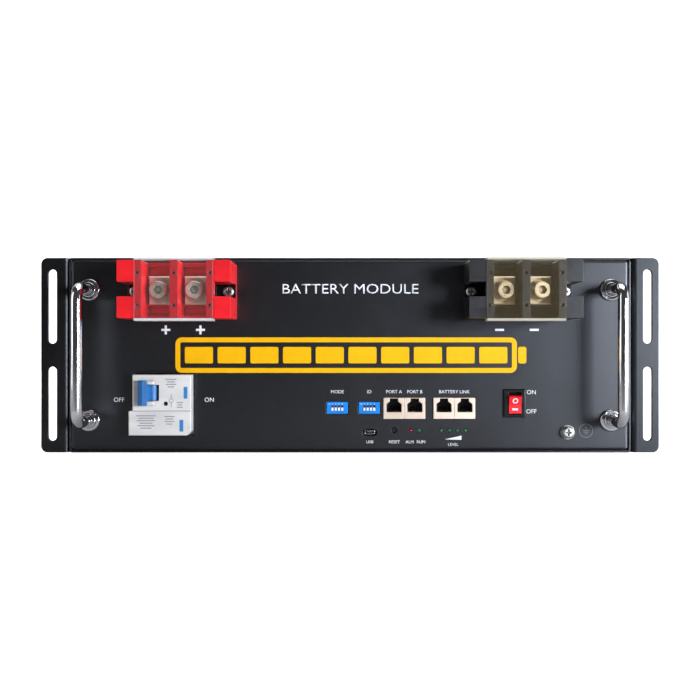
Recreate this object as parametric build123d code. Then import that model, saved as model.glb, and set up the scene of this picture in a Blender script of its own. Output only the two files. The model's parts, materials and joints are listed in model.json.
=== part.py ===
from build123d import *
from math import tan, radians
import os

# A 19-inch rack battery module: a folded steel case with a front panel of controls, rack ears and
# bar handles, holding sixteen prismatic cells in two rows, their management board and its wiring.
# Millimetres. X runs along the front, Y from the front to the back, Z up.
# The origin is the middle of the case's underside.

os.makedirs("parts", exist_ok=True)

# ---------------------------------------------------------------- driving dimensions
RACK_WIDTH = 482.6          # over both ears, the 19-inch standard
RACK_HOLE_PITCH = 465.1     # between the two columns of rack holes
CASE_WIDTH = 438.0
CASE_HEIGHT = 152.0
CASE_DEPTH = 430.0
SHEET = 1.5                 # case and lid
PANEL_SHEET = 2.0           # front panel
EAR_SHEET = 2.5
BEND = 2.5                  # outside radius of the folds
LIP = 12.0                  # inward flange that carries the lid

FRONT = -CASE_DEPTH / 2     # the front panel's face
BACK = CASE_DEPTH / 2
MID_Z = CASE_HEIGHT / 2
INNER_X = CASE_WIDTH / 2 - SHEET
PAN_DEPTH = 16.0
PAN_GAP = 0.2

SCREW_HEAD_R = 3.6          # countersunk case screws
SCREW_R = 2.0
SCREW_HEAD_DEPTH = 1.5
HOLE_R = 2.15

SLOT_LENGTH = 58.0
SLOT_WIDTH = 7.0
SLOT_PITCH = 76.0
EAR_FACE = FRONT + 2.0
EAR_LEG = 70.0
EAR_BEND = 5.0              # outside radius where the leg meets the flange
EAR_SCREW_Y = (FRONT + 11.0, FRONT + 55.0)
EAR_SCREW_Z = (30.0, 122.0)

HANDLE_X = 203.0
HANDLE_PITCH = 101.6
HANDLE_ROD_R = 4.2
HANDLE_REACH = 37.5
HANDLE_BEND = 10.0
FERRULE_R = 8.5
FERRULE_H = 4.5

BLOCK_X = 130.0             # terminal blocks, left and right of the middle
BLOCK_Z = 125.0
BLOCK_W = 84.0
BLOCK_H = 43.0
BLOCK_D = 38.0
FLANGE_W = 13.0
NOTCH_W = 11.0
NOTCH_FLOOR = 4.0
NOTCH_LENGTH = 12.3
NOTCH_RIM = 6.0             # below this depth the notch runs on under the barrier
NOTCH_UNDERCUT = 3.4
POLE_PITCH = 27.0
WELL_W = 21.0
BARRIER_W = 6.0
WELL_FLOOR = 12.0
PEDESTAL_D = 18.0
PEDESTAL_H = 23.0
PLATE_W = 17.0
PLATE_H = 21.0
PLATE_T = 3.0
STEM_W = 12.0
STEM_T = 5.0
STEM_DROP = 7.5
POCKET_Z = 12.0
POCKET = 2.6
POCKET_DEPTH = 7.0
BLOCK_SCREW_X = BLOCK_W / 2 - 6.0
LINK_Y = FRONT + 25.0
COVER_T = 1.8
COVER_SKIRT = 12.0

BREAKER_X = -144.6
BREAKER_FACE = FRONT - 10.5
BREAKER_FACE_W = 45.0
BREAKER_LENGTH = 85.0
BREAKER_DEPTH = 66.0
SHOULDER_Y = FRONT + 3.5
POLE_Z = (33.1, 61.0)
TRIP_Z = (14.3, 33.1)
TRIP_EXTRA = 3.0
TOGGLE_X = -153.0
TOGGLE_R = 5.8
TOGGLE_Y = BREAKER_FACE + TOGGLE_R
TOGGLE_HALF_THROW = 30.0
TOGGLE_DRUM_H = 11.8
TOGGLE_GRIP_H = 19.4
TOGGLE_NECK = 9.2
TOGGLE_TIP = 13.8
POLE_MID = (POLE_Z[0] + POLE_Z[1]) / 2
TEST_X = -141.4             # trip test button
TEST_Z = 38.8
TEST_R = 1.5
TEST_TRAVEL = 1.0

SWITCH_X = 128.1
SWITCH_Z = 38.6
SWITCH_W = 17.0
SWITCH_H = 22.0
ROCKER_W = 9.6
ROCKER_HALF = 6.8
ROCKER_TILT = 11.0
ROCKER_Y = FRONT + 3.0

DIP_X = (-9.9, 15.0)
DIP_Z = 34.9
DIP_W = 16.8
DIP_H = 9.4
DIP_FACE = FRONT + 0.4
DIP_POSITIONS = 4
DIP_PITCH = 2.54
SLIDER_W = 1.7
SLIDER_H = 2.4
SLIDER_TRAVEL = 2.0

JACK_X = (42.3, 81.2)
JACK_Z = 34.6
JACK_PITCH = 16.2
JACK_H = 16.4
JACK_FACE = FRONT - 1.0
JACK_DEPTH = 18.0
SOCKET_DEPTH = 13.5
SOCKET_FLOOR = 5.2          # from the shell's underside to the socket
SOCKET_SHAPE = (             # half width and height of the socket's outline, from its floor up
    (5.9, 0.0),
    (5.9, 6.4),
    (3.3, 8.4),
    (3.3, 10.7),
)

USB_X = 15.4
USB_Z = 15.8
RESET_X = 34.5
LED_Z = 17.4
LED_R = 1.5
ALARM_LED_X = 47.3
RUN_LED_X = 53.7
CHARGE_LED_X = (71.0, 77.25, 83.5, 89.75)
RESET_R = 1.75
RESET_FACE = FRONT + 1.2

GROUND_X = 169.3
GROUND_Z = 16.0

BOARD_TOP = JACK_Z - JACK_H / 2
BOARD_T = 1.6
DAUGHTER_Y = FRONT + 9.0

CELLS_PER_ROW = 8
CELL_T = 36.0               # along Y
CELL_BODY = 195.0           # along X, from the base to the terminal face
CELL_W = 130.0              # along Z
CELL_GAP = 1.0
POST_H = 5.0
POST_OFFSET = 45.0
STUD_R = 3.0
CHANNEL = 13.0              # half of the gap between the two rows' terminal faces
CELL_Z = 6.0
END_PLATE = 10.0
MODULE_BACK = BACK - SHEET - 4.0
CELLS_BACK = MODULE_BACK - END_PLATE
CELL_STEP = CELL_T + CELL_GAP
CELLS_FRONT = CELLS_BACK - CELLS_PER_ROW * CELL_STEP + CELL_GAP
MODULE_FRONT = CELLS_FRONT - END_PLATE
CELL_MID_Z = CELL_Z + CELL_W / 2
POST_FACE = CHANNEL - POST_H
BUSBAR_T = 2.0
BUSBAR_H = 20.0
STRAP_T = 1.0
STRAP_W = 14.0
STRAP_OFFSET = 18.0

BMS_X = (22.0, 206.0)
BMS_Z = (22.0, 132.0)
BMS_FACE = -121.0
BMS_STUD_Z = 112.0
CABLE_R = 4.75


# ---------------------------------------------------------------- helpers
def slab(x, y, z):
    """A box between the given low and high values on each axis."""
    middle = Pos((x[0] + x[1]) / 2, (y[0] + y[1]) / 2, (z[0] + z[1]) / 2)
    return middle * Box(x[1] - x[0], y[1] - y[0], z[1] - z[0])


def around(middle, half):
    return (middle - half, middle + half)


def rod_x(x, y, z, radius):
    """A cylinder along X between x[0] and x[1]."""
    return Pos((x[0] + x[1]) / 2, y, z) * Rot(0, 90, 0) * Cylinder(radius, x[1] - x[0])


def rod_y(x, y, z, radius):
    return Pos(x, (y[0] + y[1]) / 2, z) * Rot(90, 0, 0) * Cylinder(radius, y[1] - y[0])


def rod_z(x, y, z, radius):
    return Pos(x, y, (z[0] + z[1]) / 2) * Cylinder(radius, z[1] - z[0])


def fused(shapes):
    total = shapes[0]
    for shape in shapes[1:]:
        total = total + shape
    return total


def cut(shape, tools):
    for tool in tools:
        shape = shape - tool
    return shape


def mirrored(shape):
    return mirror(shape, about=Plane.YZ)


def solids_of(shapes):
    return [solid for shape in shapes for solid in shape.solids()]


def save(name, *shapes):
    export_step(Compound(children=solids_of(shapes)), f"parts/{name}.step")


def tube(points, radius, tightest):
    """A round tube along straight runs joined by arcs as large as the runs allow."""
    vectors = [Vector(*p) for p in points]
    radii = []
    for before, corner, after in zip(vectors, vectors[1:], vectors[2:]):
        run_in = corner - before
        run_out = after - corner
        turn = radians(run_in.get_angle(run_out))
        radii.append(0.45 * min(run_in.length, run_out.length) / tan(turn / 2))
    path = FilletPolyline(*vectors, radius=[min(r, 400.0) for r in radii])
    print("tube radii", [round(r, 1) for r in radii], "all over", tightest, min(radii) > tightest)
    start = Plane(origin=path @ 0, z_dir=path % 0)
    return sweep(start * Circle(radius), path=path)


def cross_recess(size, depth):
    """A crosshead recess in a screw head whose top is at Z = 0."""
    arm = Pos(0, 0, -depth / 2) * Box(size, size * 0.22, depth)
    return arm + Rot(0, 0, 90) * arm


def countersunk_screw(length):
    """Head flush with Z = 0, shank towards -Z."""
    head = Pos(0, 0, -SCREW_HEAD_DEPTH / 2) * Cone(
        SCREW_R + 0.1, SCREW_HEAD_R, SCREW_HEAD_DEPTH
    )
    shank = rod_z(0, 0, (-length, -SCREW_HEAD_DEPTH), SCREW_R)
    return head + shank - cross_recess(4.2, 1.0)


def countersink():
    """The tool that cuts a screw's seat and clearance hole, with its mouth at Z = 0."""
    mouth = Pos(0, 0, -SCREW_HEAD_DEPTH / 2) * Cone(
        HOLE_R + 0.05, SCREW_HEAD_R + 0.1, SCREW_HEAD_DEPTH
    )
    return mouth + rod_z(0, 0, (-12.0, -SCREW_HEAD_DEPTH), HOLE_R)


def pan_screw(head_r, head_h, shank_r, length):
    """Head standing on Z = 0, shank towards -Z."""
    head = rod_z(0, 0, (0, head_h), head_r)
    head = fillet(head.faces().sort_by(Axis.Z)[-1].edges(), head_h * 0.55)
    shank = rod_z(0, 0, (-length, 0), shank_r)
    return head + shank - Pos(0, 0, head_h) * cross_recess(head_r * 1.1, head_h * 0.6)


# ---------------------------------------------------------------- enclosure
def lid_screw_places():
    side_y = [-190.0, -95.0, 0.0, 95.0, 190.0]
    sides = [(sign * (CASE_WIDTH / 2 - 7.5), y) for sign in (-1, 1) for y in side_y]
    rear = [(x, BACK - 7.5) for x in (-105.0, 0.0, 105.0)]
    front = [(x, FRONT + 9.0) for x in (-105.0, 0.0, 105.0)]
    return sides + rear + front


def ear_screw_places(sign):
    face_x = sign * (CASE_WIDTH / 2 + EAR_SHEET)
    turn = Rot(0, 90 * sign, 0)
    return [Pos(face_x, y, z) * turn for y in EAR_SCREW_Y for z in EAR_SCREW_Z]


def make_chassis():
    top = CASE_HEIGHT - SHEET
    outer = slab(around(0, CASE_WIDTH / 2), (FRONT + 1.0, BACK), (0, top))
    folds = outer.edges().filter_by(Axis.Y) + outer.faces().sort_by(Axis.Y)[-1].edges()
    outer = fillet(folds, BEND)
    inner = slab(around(0, INNER_X), (FRONT - 30.0, BACK - SHEET), (SHEET, top - SHEET))
    folds = inner.edges().filter_by(Axis.Y) + inner.faces().sort_by(Axis.Y)[-1].edges()
    inner = fillet(folds, BEND - SHEET)
    mouth = slab(around(0, INNER_X - LIP), (FRONT - 30.0, BACK - SHEET - LIP), (100.0, 200.0))
    pan_room = slab(around(0, INNER_X), (FRONT - 30.0, FRONT + PAN_DEPTH + 0.5), (140.0, 200.0))
    tray = outer - inner - mouth - pan_room
    tools = [rod_z(x, y, (top - 5.0, top + 5.0), HOLE_R) for x, y in lid_screw_places()]
    for sign in (-1, 1):
        tools += [place * rod_z(0, 0, (-8.0, 1.0), HOLE_R) for place in ear_screw_places(sign)]
    return cut(tray, tools)


def make_lid():
    lid = slab(
        around(0, CASE_WIDTH / 2), (FRONT + 1.0, BACK), (CASE_HEIGHT - SHEET, CASE_HEIGHT)
    )
    lid = fillet(lid.edges().filter_by(Axis.Z), 2.0)
    lid = fillet(lid.faces().sort_by(Axis.Z)[-1].edges(), 0.6)
    return cut(lid, [Pos(x, y, CASE_HEIGHT) * countersink() for x, y in lid_screw_places()])


def make_case_screws():
    screws = [Pos(x, y, CASE_HEIGHT) * countersunk_screw(8.0) for x, y in lid_screw_places()]
    for sign in (-1, 1):
        screws += [place * countersunk_screw(9.0) for place in ear_screw_places(sign)]
    return screws


def make_ear():
    """The right ear: an L of plate with a leg along the case and a slotted flange."""
    side = CASE_WIDTH / 2
    flange = slab((side, RACK_WIDTH / 2), (EAR_FACE, EAR_FACE + EAR_SHEET), (0, CASE_HEIGHT))
    outer_corners = flange.edges().filter_by(Axis.Y).sort_by(Axis.X)[-2:]
    flange = fillet(outer_corners, 5.0)
    leg = slab((side, side + EAR_SHEET), (EAR_FACE, EAR_FACE + EAR_LEG), (0, CASE_HEIGHT))
    rear_corners = leg.edges().filter_by(Axis.X).sort_by(Axis.Y)[-2:]
    leg = chamfer(rear_corners, 10.0)
    ear = flange + leg
    for offset, radius in ((EAR_SHEET, EAR_BEND - EAR_SHEET), (0, EAR_BEND)):
        corner = [
            e
            for e in ear.edges().filter_by(Axis.Z)
            if abs(e.center().X - side - offset) < 0.01
            and abs(e.center().Y - EAR_FACE - offset) < 0.01
        ]
        ear = fillet(corner, radius)
    face_plane = Plane(
        origin=(RACK_HOLE_PITCH / 2, EAR_FACE, MID_Z), x_dir=(1, 0, 0), z_dir=(0, -1, 0)
    )
    slot = extrude(Rot(0, 0, 90) * SlotOverall(SLOT_LENGTH, SLOT_WIDTH), 10.0, both=True)
    for offset in (-SLOT_PITCH / 2, SLOT_PITCH / 2):
        ear = ear - face_plane * Pos(0, offset, 0) * slot
    return cut(ear, [place * countersink() for place in ear_screw_places(1)])


def panel_cut_outs():
    depth = (FRONT - 5.0, FRONT + 6.0)
    tools = []
    for sign in (-1, 1):
        for z in around(MID_Z, HANDLE_PITCH / 2):
            tools.append(rod_y(sign * HANDLE_X, depth, z, 2.6))
        stems = around(sign * BLOCK_X, POLE_PITCH / 2 + STEM_W / 2 + 1.0)
        tools.append(slab(stems, depth, around(BLOCK_Z - STEM_DROP, STEM_T / 2 + 1.0)))
        for x in around(sign * BLOCK_X, BLOCK_SCREW_X):
            tools.append(rod_y(x, depth, BLOCK_Z, 2.6))
    half = BREAKER_FACE_W / 2
    gap = 0.9
    tools.append(
        slab(around(BREAKER_X, half + gap), depth, (POLE_Z[0] - 1.0, POLE_Z[1] + gap))
    )
    trip_x = (BREAKER_X - half - TRIP_EXTRA - gap, BREAKER_X + half + gap)
    tools.append(slab(trip_x, depth, (TRIP_Z[0] - gap, TRIP_Z[1])))
    tools.append(slab(around(SWITCH_X, 6.7), depth, around(SWITCH_Z, 9.7)))
    for x in DIP_X:
        tools.append(slab(around(x, DIP_W / 2 + 0.3), depth, around(DIP_Z, DIP_H / 2 + 0.3)))
    for x in JACK_X:
        tools.append(slab(around(x, JACK_PITCH + 0.3), depth, around(JACK_Z, JACK_H / 2 + 0.3)))
    usb = extrude(SlotOverall(11.6, 5.4), 10.0, both=True)
    tools.append(Pos(USB_X, FRONT, USB_Z) * Rot(90, 0, 0) * usb)
    tools.append(rod_y(RESET_X, depth, LED_Z, RESET_R + 0.35))
    for x in (ALARM_LED_X, RUN_LED_X, *CHARGE_LED_X):
        tools.append(rod_y(x, depth, LED_Z, LED_R + 0.1))
    tools.append(rod_y(GROUND_X, depth, GROUND_Z, 3.05))
    return tools


def make_front_panel():
    low, high = SHEET + PAN_GAP, CASE_HEIGHT - SHEET - PAN_GAP
    half = INNER_X - PAN_GAP
    pan = slab(around(0, half), (FRONT, FRONT + PAN_DEPTH), (low, high))
    pan = fillet(pan.edges().filter_by(Axis.Y) + pan.faces().sort_by(Axis.Y)[0].edges(), BEND)
    inner = slab(
        around(0, half - PANEL_SHEET),
        (FRONT + PANEL_SHEET, FRONT + 2 * PAN_DEPTH),
        (low + PANEL_SHEET, high - PANEL_SHEET),
    )
    folds = inner.edges().filter_by(Axis.Y) + inner.faces().sort_by(Axis.Y)[0].edges()
    inner = fillet(folds, BEND - PANEL_SHEET)
    tools = panel_cut_outs()
    for x, y in lid_screw_places():
        if y < FRONT + PAN_DEPTH:
            tools.append(rod_z(x, y, (high - 5.0, high + 5.0), HOLE_R))
    for sign in (-1, 1):
        tools += [place * rod_z(0, 0, (-12.0, 1.0), HOLE_R) for place in ear_screw_places(sign)]
    return cut(pan - inner, tools)


def make_handle():
    """A bent bar with both ends on the panel, in its own vertical plane at X = 0."""
    reach = FRONT - HANDLE_REACH + HANDLE_ROD_R
    low, high = around(MID_Z, HANDLE_PITCH / 2)
    foot = FRONT - FERRULE_H
    points = [(0, foot, low), (0, reach, low), (0, reach, high), (0, foot, high)]
    path = FilletPolyline(*points, radius=HANDLE_BEND)
    bar = sweep(Plane(origin=path @ 0, z_dir=path % 0) * Circle(HANDLE_ROD_R), path=path)
    bores = [rod_y(0, (foot - 12.0, foot + 1.0), z, 2.55) for z in (low, high)]
    return cut(bar, bores)


def make_ferrule():
    """A stepped ring under one end of a handle, standing on Y = 0 towards -Y."""
    ring = rod_y(0, (-2.6, 0), 0, FERRULE_R)
    ring = fillet(ring.faces().sort_by(Axis.Y)[0].edges(), 1.2)
    collar = rod_y(0, (-FERRULE_H, -2.6), 0, HANDLE_ROD_R + 1.6)
    collar = fillet(collar.faces().sort_by(Axis.Y)[0].edges(), 0.8)
    return ring + collar - rod_y(0, (-10.0, 1.0), 0, 2.55)


def handle_feet():
    return [
        Pos(sign * HANDLE_X, FRONT, z)
        for sign in (-1, 1)
        for z in around(MID_Z, HANDLE_PITCH / 2)
    ]


def make_handle_screw():
    """Driven from inside the panel: head on the back of the panel, shank towards -Y."""
    return Pos(0, PANEL_SHEET, 0) * Rot(-90, 0, 0) * pan_screw(4.6, 3.4, 2.5, 17.5)


def make_ground_screw():
    washer = rod_y(GROUND_X, (FRONT - 1.2, FRONT), GROUND_Z, 5.5)
    washer = washer - rod_y(GROUND_X, (FRONT - 5.0, FRONT + 5.0), GROUND_Z, 3.05)
    place = Pos(GROUND_X, FRONT - 1.2, GROUND_Z) * Rot(90, 0, 0)
    return [washer, place * pan_screw(4.7, 3.4, 3.0, 14.0)]


# ---------------------------------------------------------------- terminal blocks
def poles():
    return around(0, POLE_PITCH / 2)


def make_terminal_block():
    """Two open wells between barriers, with a notched flange at each end. Back face on Y = 0."""
    half_w, half_h = BLOCK_W / 2, BLOCK_H / 2
    core = half_w - FLANGE_W
    shapes = [slab((-half_w, half_w), (-WELL_FLOOR, 0), (-half_h, half_h))]
    for sign in (-1, 1):
        inner, outer = sorted((sign * (half_w - FLANGE_W), sign * half_w))
        shapes.append(slab((inner, outer), (-BLOCK_D, 0), (-half_h, half_h)))
        wall = sorted((sign * (BARRIER_W / 2 + WELL_W), sign * core))
        shapes.append(slab(wall, (-BLOCK_D, 0), (-half_h, half_h)))
    shapes.append(slab(around(0, BARRIER_W / 2), (-BLOCK_D, 0), (-half_h, half_h)))
    body = fused(shapes)
    body = fillet(body.edges().filter_by(Axis.Y), 1.0)
    for x in poles():
        body += slab(around(x, WELL_W / 2), (-PEDESTAL_D, -5.0), around(0, PEDESTAL_H / 2))
        for z in ((-half_h, -half_h + 3.0), (half_h - 3.0, half_h)):
            body += slab(around(x, WELL_W / 2), (-WELL_FLOOR - 3.0, -5.0), z)
    tools = []
    for sign in (-1, 1):
        end = half_w - NOTCH_LENGTH
        notch = sorted((sign * end, sign * (half_w + 1.0)))
        tools.append(slab(notch, (-BLOCK_D - 1.0, -NOTCH_FLOOR), around(0, NOTCH_W / 2)))
        notch = sorted((sign * (end - NOTCH_UNDERCUT), sign * (end + 1.0)))
        tools.append(slab(notch, (-BLOCK_D + NOTCH_RIM, -NOTCH_FLOOR), around(0, NOTCH_W / 2)))
        tools.append(rod_y(sign * BLOCK_SCREW_X, (-10.0, 1.0), 0, 2.7))
    for x in poles():
        stem = slab(around(x, STEM_W / 2 + 0.1), (-30.0, 1.0), around(-STEM_DROP, STEM_T / 2 + 0.1))
        tools += [stem, rod_y(x, (-30.0, -7.0), 0, 4.3)]
    core_wall = core - 2.25
    for x in (-core_wall, 0, core_wall):
        for z in (-POCKET_Z, POCKET_Z):
            tools.append(
                slab(
                    around(x, POCKET / 2),
                    (-BLOCK_D - 1.0, -BLOCK_D + POCKET_DEPTH),
                    around(z, POCKET / 2),
                )
            )
    return cut(body, tools)


def make_pole_plate():
    """A contact plate with a stem that passes through the block to the inside."""
    plate = slab(
        around(0, PLATE_W / 2), (-PEDESTAL_D - PLATE_T, -PEDESTAL_D), around(0, PLATE_H / 2)
    )
    plate = chamfer(plate.faces().sort_by(Axis.Y)[0].edges(), 0.5)
    plate = plate - rod_y(0, (-40.0, 0), 0, 4.05)
    stem_z = around(-STEM_DROP, STEM_T / 2)
    stem = slab(around(0, STEM_W / 2), (-PEDESTAL_D, LINK_Y - FRONT), stem_z)
    return plate + stem - rod_y(0, (-40.0, -7.0), 0, 4.05)


def make_link_bar():
    """Joins both stems of a block behind the panel and takes the cable lug."""
    length = POLE_PITCH / 2 + STEM_W / 2 + 2.0
    y = (LINK_Y - FRONT, LINK_Y - FRONT + 4.0)
    bar = slab(around(0, length), y, around(-STEM_DROP + 2.0, 7.0))
    return bar - rod_y(0, (0, 60.0), -STEM_DROP + 2.0, 3.2)


def make_pole_bolt():
    """Washer, spring washer and socket-head bolt, stacked on the plate, towards -Y."""
    seat = -PEDESTAL_D - PLATE_T
    washer = rod_y(0, (seat - 1.6, seat), 0, 8.0) - rod_y(0, (seat - 9.0, seat + 1.0), 0, 4.05)
    spring = rod_y(0, (seat - 3.4, seat - 1.6), 0, 6.9)
    spring = spring - rod_y(0, (seat - 9.0, seat + 1.0), 0, 4.05)
    spring = spring - slab((0, 9.0), (seat - 3.5, seat - 1.5), around(0, 0.4))
    head = rod_y(0, (seat - 9.0, seat - 3.4), 0, 6.5)
    head = fillet(head.faces().sort_by(Axis.Y)[0].edges(), 0.9)
    socket = extrude(RegularPolygon(3.0, 6, major_radius=False), 4.0)
    head = head - Pos(0, seat - 5.2, 0) * Rot(90, 0, 0) * socket
    shank = rod_y(0, (seat - 3.4, -8.0), 0, 4.0)
    return [washer, spring, head + shank]


def make_terminal_cover():
    """A clear channel over the two wells, held by six pegs in the barriers' pockets."""
    half = BLOCK_W / 2 - FLANGE_W
    front = (-BLOCK_D - 0.2 - COVER_T, -BLOCK_D - 0.2)
    inside, outside = BLOCK_H / 2 + 0.3, BLOCK_H / 2 + 0.3 + COVER_T
    cover = slab((-half, half), front, (-outside, outside))
    for sign in (-1, 1):
        skirt_z = sorted((sign * inside, sign * outside))
        cover += slab((-half, half), (front[0], front[0] + COVER_SKIRT), skirt_z)
    cover = fillet(cover.faces().sort_by(Axis.Y)[0].edges().filter_by(Axis.X), 1.2)
    gap = slab(around(0, 1.3), (front[0] + 2.4, 0), (inside - 1.0, outside + 1.0))
    cover = cover - gap
    for x in (-(half - 2.25), 0, half - 2.25):
        for z in (-POCKET_Z, POCKET_Z):
            cover += slab(around(x, 0.9), (front[1], front[1] + 6.0), around(z, 0.9))
    return cover


def make_block_screw():
    place = Pos(0, -NOTCH_FLOOR, 0) * Rot(90, 0, 0)
    return place * pan_screw(4.5, 3.2, 2.5, 12.0)


# ---------------------------------------------------------------- circuit breaker
def breaker_body(z, extra):
    """The stepped housing of one module, which clips to the rail behind it."""
    half = BREAKER_FACE_W / 2
    back = BREAKER_FACE + BREAKER_DEPTH
    x = (BREAKER_X - BREAKER_LENGTH / 2 - extra, BREAKER_X + BREAKER_LENGTH / 2)
    body = slab(x, (SHOULDER_Y, back), z)
    body = fillet(body.edges().filter_by(Axis.Z), 2.0)
    nose = slab((BREAKER_X - half - extra, BREAKER_X + half), (BREAKER_FACE, SHOULDER_Y + 5.0), z)
    return body + nose


def finish_module(body, z, extra):
    rail_room = slab(
        around(BREAKER_X, 17.8),
        (BREAKER_FACE + BREAKER_DEPTH - 2.2, BREAKER_FACE + BREAKER_DEPTH + 1.0),
        (z[0] - 1.0, z[1] + 1.0),
    )
    front_edges = [
        e for e in body.edges() if abs(e.center().Y - BREAKER_FACE) < 0.01
    ]
    return fillet(front_edges, 0.8) - rail_room


def make_breaker_case():
    body = finish_module(breaker_body(POLE_Z, 0), POLE_Z, 0)
    for sign in (-1, 1):
        cheek = slab(
            around(TOGGLE_X, 2.8),
            (BREAKER_FACE - 2.8, BREAKER_FACE + 2.0),
            sorted((POLE_MID + sign * 6.5, POLE_MID + sign * 9.2)),
        )
        rim = cheek.faces().sort_by(Axis.Y)[0].edges()
        body += fillet(rim, 0.9)
    drum_room = rod_z(TOGGLE_X, TOGGLE_Y, around(POLE_MID, TOGGLE_DRUM_H / 2 + 0.3), TOGGLE_R + 0.3)
    throat = slab(
        around(TOGGLE_X, 6.4),
        (BREAKER_FACE - 1.0, BREAKER_FACE + 4.0),
        around(POLE_MID, TOGGLE_DRUM_H / 2 + 0.3),
    )
    test_bore = rod_y(TEST_X, (BREAKER_FACE - 1.0, BREAKER_FACE + 6.0), TEST_Z, TEST_R + 0.15)
    tools = [drum_room, throat, test_bore]
    left, right = around(BREAKER_X, BREAKER_LENGTH / 2)
    tools.append(rod_x((left - 1.0, left + 13.0), -185.0, POLE_MID, 5.6))
    tools.append(rod_x((right - 13.0, right + 1.0), -185.0, POLE_MID, 5.6))
    for x in (left + 8.0, right - 8.0):
        tools.append(rod_y(x, (SHOULDER_Y - 1.0, SHOULDER_Y + 9.0), POLE_MID, 4.0))
    return cut(body, tools)


def make_trip_unit():
    body = finish_module(breaker_body(TRIP_Z, TRIP_EXTRA), TRIP_Z, TRIP_EXTRA)
    corner_x = BREAKER_X + BREAKER_FACE_W / 2
    bevel = Pos(corner_x, (BREAKER_FACE + SHOULDER_Y) / 2, TRIP_Z[0]) * Rot(0, 45, 0)
    bevel = bevel * Box(4.6, SHOULDER_Y - BREAKER_FACE + 0.2, 4.6)
    return body - bevel


def make_toggle():
    """The lever at rest: thrown to -X by half its travel."""
    drum = rod_z(0, 0, around(0, TOGGLE_DRUM_H / 2), TOGGLE_R)
    neck = slab(around(0, 2.5), (-TOGGLE_NECK - 1.0, 0), around(0, TOGGLE_DRUM_H / 2))
    grip = slab(around(0, 3.0), (-TOGGLE_TIP, -TOGGLE_NECK), around(0, TOGGLE_GRIP_H / 2))
    grip = fillet(grip.faces().sort_by(Axis.Y)[0].edges(), 1.2)
    ribs = [
        slab(around(0, 4.0), around(-TOGGLE_NECK - y, 0.35), around(0, TOGGLE_GRIP_H / 2 + 1.0))
        - slab(around(0, 2.7), (-30.0, 0), around(0, TOGGLE_GRIP_H))
        for y in (1.4, 2.6, 3.8)
    ]
    lever = cut(drum + neck + grip, ribs)
    return Pos(TOGGLE_X, TOGGLE_Y, POLE_MID) * Rot(0, 0, -TOGGLE_HALF_THROW) * lever


def make_test_button():
    """A pin that trips the breaker when pushed. At rest its tip is just under the face."""
    pin = rod_y(TEST_X, (BREAKER_FACE + 0.4, BREAKER_FACE + 6.0 - TEST_TRAVEL - 0.3), TEST_Z, TEST_R)
    return fillet(pin.faces().sort_by(Axis.Y)[0].edges(), 0.4)


def make_din_rail():
    """The hat-section rail behind the breaker and the foot that holds it."""
    back = BREAKER_FACE + BREAKER_DEPTH
    z = (9.0, 66.0)
    lips = slab(around(BREAKER_X, 17.5), (back - 1.4, back - 0.4), z)
    hat = slab(around(BREAKER_X, 13.5), (back - 1.4, back + 6.1), z)
    hollow = slab(around(BREAKER_X, 12.5), (back - 2.0, back + 5.1), z)
    rail = lips + hat - hollow
    upright = slab(around(BREAKER_X, 20.0), (back + 6.1, back + 7.6), (SHEET, 70.0))
    foot = slab(around(BREAKER_X, 20.0), (back + 6.1, back + 22.0), (SHEET, SHEET + 1.5))
    return [rail, upright + foot]


# ---------------------------------------------------------------- power switch
def make_switch_case():
    bezel = slab(
        around(SWITCH_X, SWITCH_W / 2), (FRONT - 2.0, FRONT), around(SWITCH_Z, SWITCH_H / 2)
    )
    bezel = fillet(bezel.faces().sort_by(Axis.Y)[0].edges(), 0.8)
    body = slab(around(SWITCH_X, 6.5), (FRONT, FRONT + 17.0), around(SWITCH_Z, 9.5))
    room = slab(
        around(SWITCH_X, ROCKER_W / 2 + 0.3), (FRONT - 5.0, FRONT + 8.0), around(SWITCH_Z, 8.8)
    )
    tabs = [
        slab(around(SWITCH_X, 2.4), (FRONT + 17.0, FRONT + 25.0), around(SWITCH_Z + dz, 0.4))
        for dz in (-5.0, 5.0)
    ]
    return fused([bezel + body - room, *tabs])


def make_rocker():
    """At rest its lower end is pressed in."""
    profile = Polyline(
        (-6.0, 2.0),
        (-ROCKER_HALF, -2.5),
        (-ROCKER_HALF, -7.6),
        (0, -6.2),
        (ROCKER_HALF, -7.6),
        (ROCKER_HALF, -2.5),
        (6.0, 2.0),
        close=True,
    )
    # the sketch's X is the height and its Y the depth
    face = make_face(profile)
    plane = Plane(origin=(0, 0, 0), x_dir=(0, 0, 1), z_dir=(-1, 0, 0))
    body = extrude(plane * face, ROCKER_W / 2, both=True)
    body = fillet(body.edges().filter_by(Axis.X), 0.5)
    body = Rot(ROCKER_TILT, 0, 0) * body
    return Pos(SWITCH_X, ROCKER_Y, SWITCH_Z) * body


# ---------------------------------------------------------------- data ports and selectors
def slider_x(position):
    return (position - (DIP_POSITIONS - 1) / 2) * DIP_PITCH


def make_dip_body(x):
    half = DIP_H / 2
    body = slab(around(x, DIP_W / 2), (DIP_FACE, FRONT + 7.0), around(DIP_Z, half))
    body = chamfer(body.faces().sort_by(Axis.Y)[0].edges(), 0.3)
    body += slab(around(x, DIP_W / 2), (FRONT + 2.5, FRONT + 11.0), (BOARD_TOP, DIP_Z - half + 1))
    tools = [
        slab(
            around(x + slider_x(i), SLIDER_W / 2 + 0.1),
            (DIP_FACE - 1.0, DIP_FACE + 2.0),
            around(DIP_Z, (SLIDER_H + SLIDER_TRAVEL) / 2 + 0.1),
        )
        for i in range(DIP_POSITIONS)
    ]
    return cut(body, tools)


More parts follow.
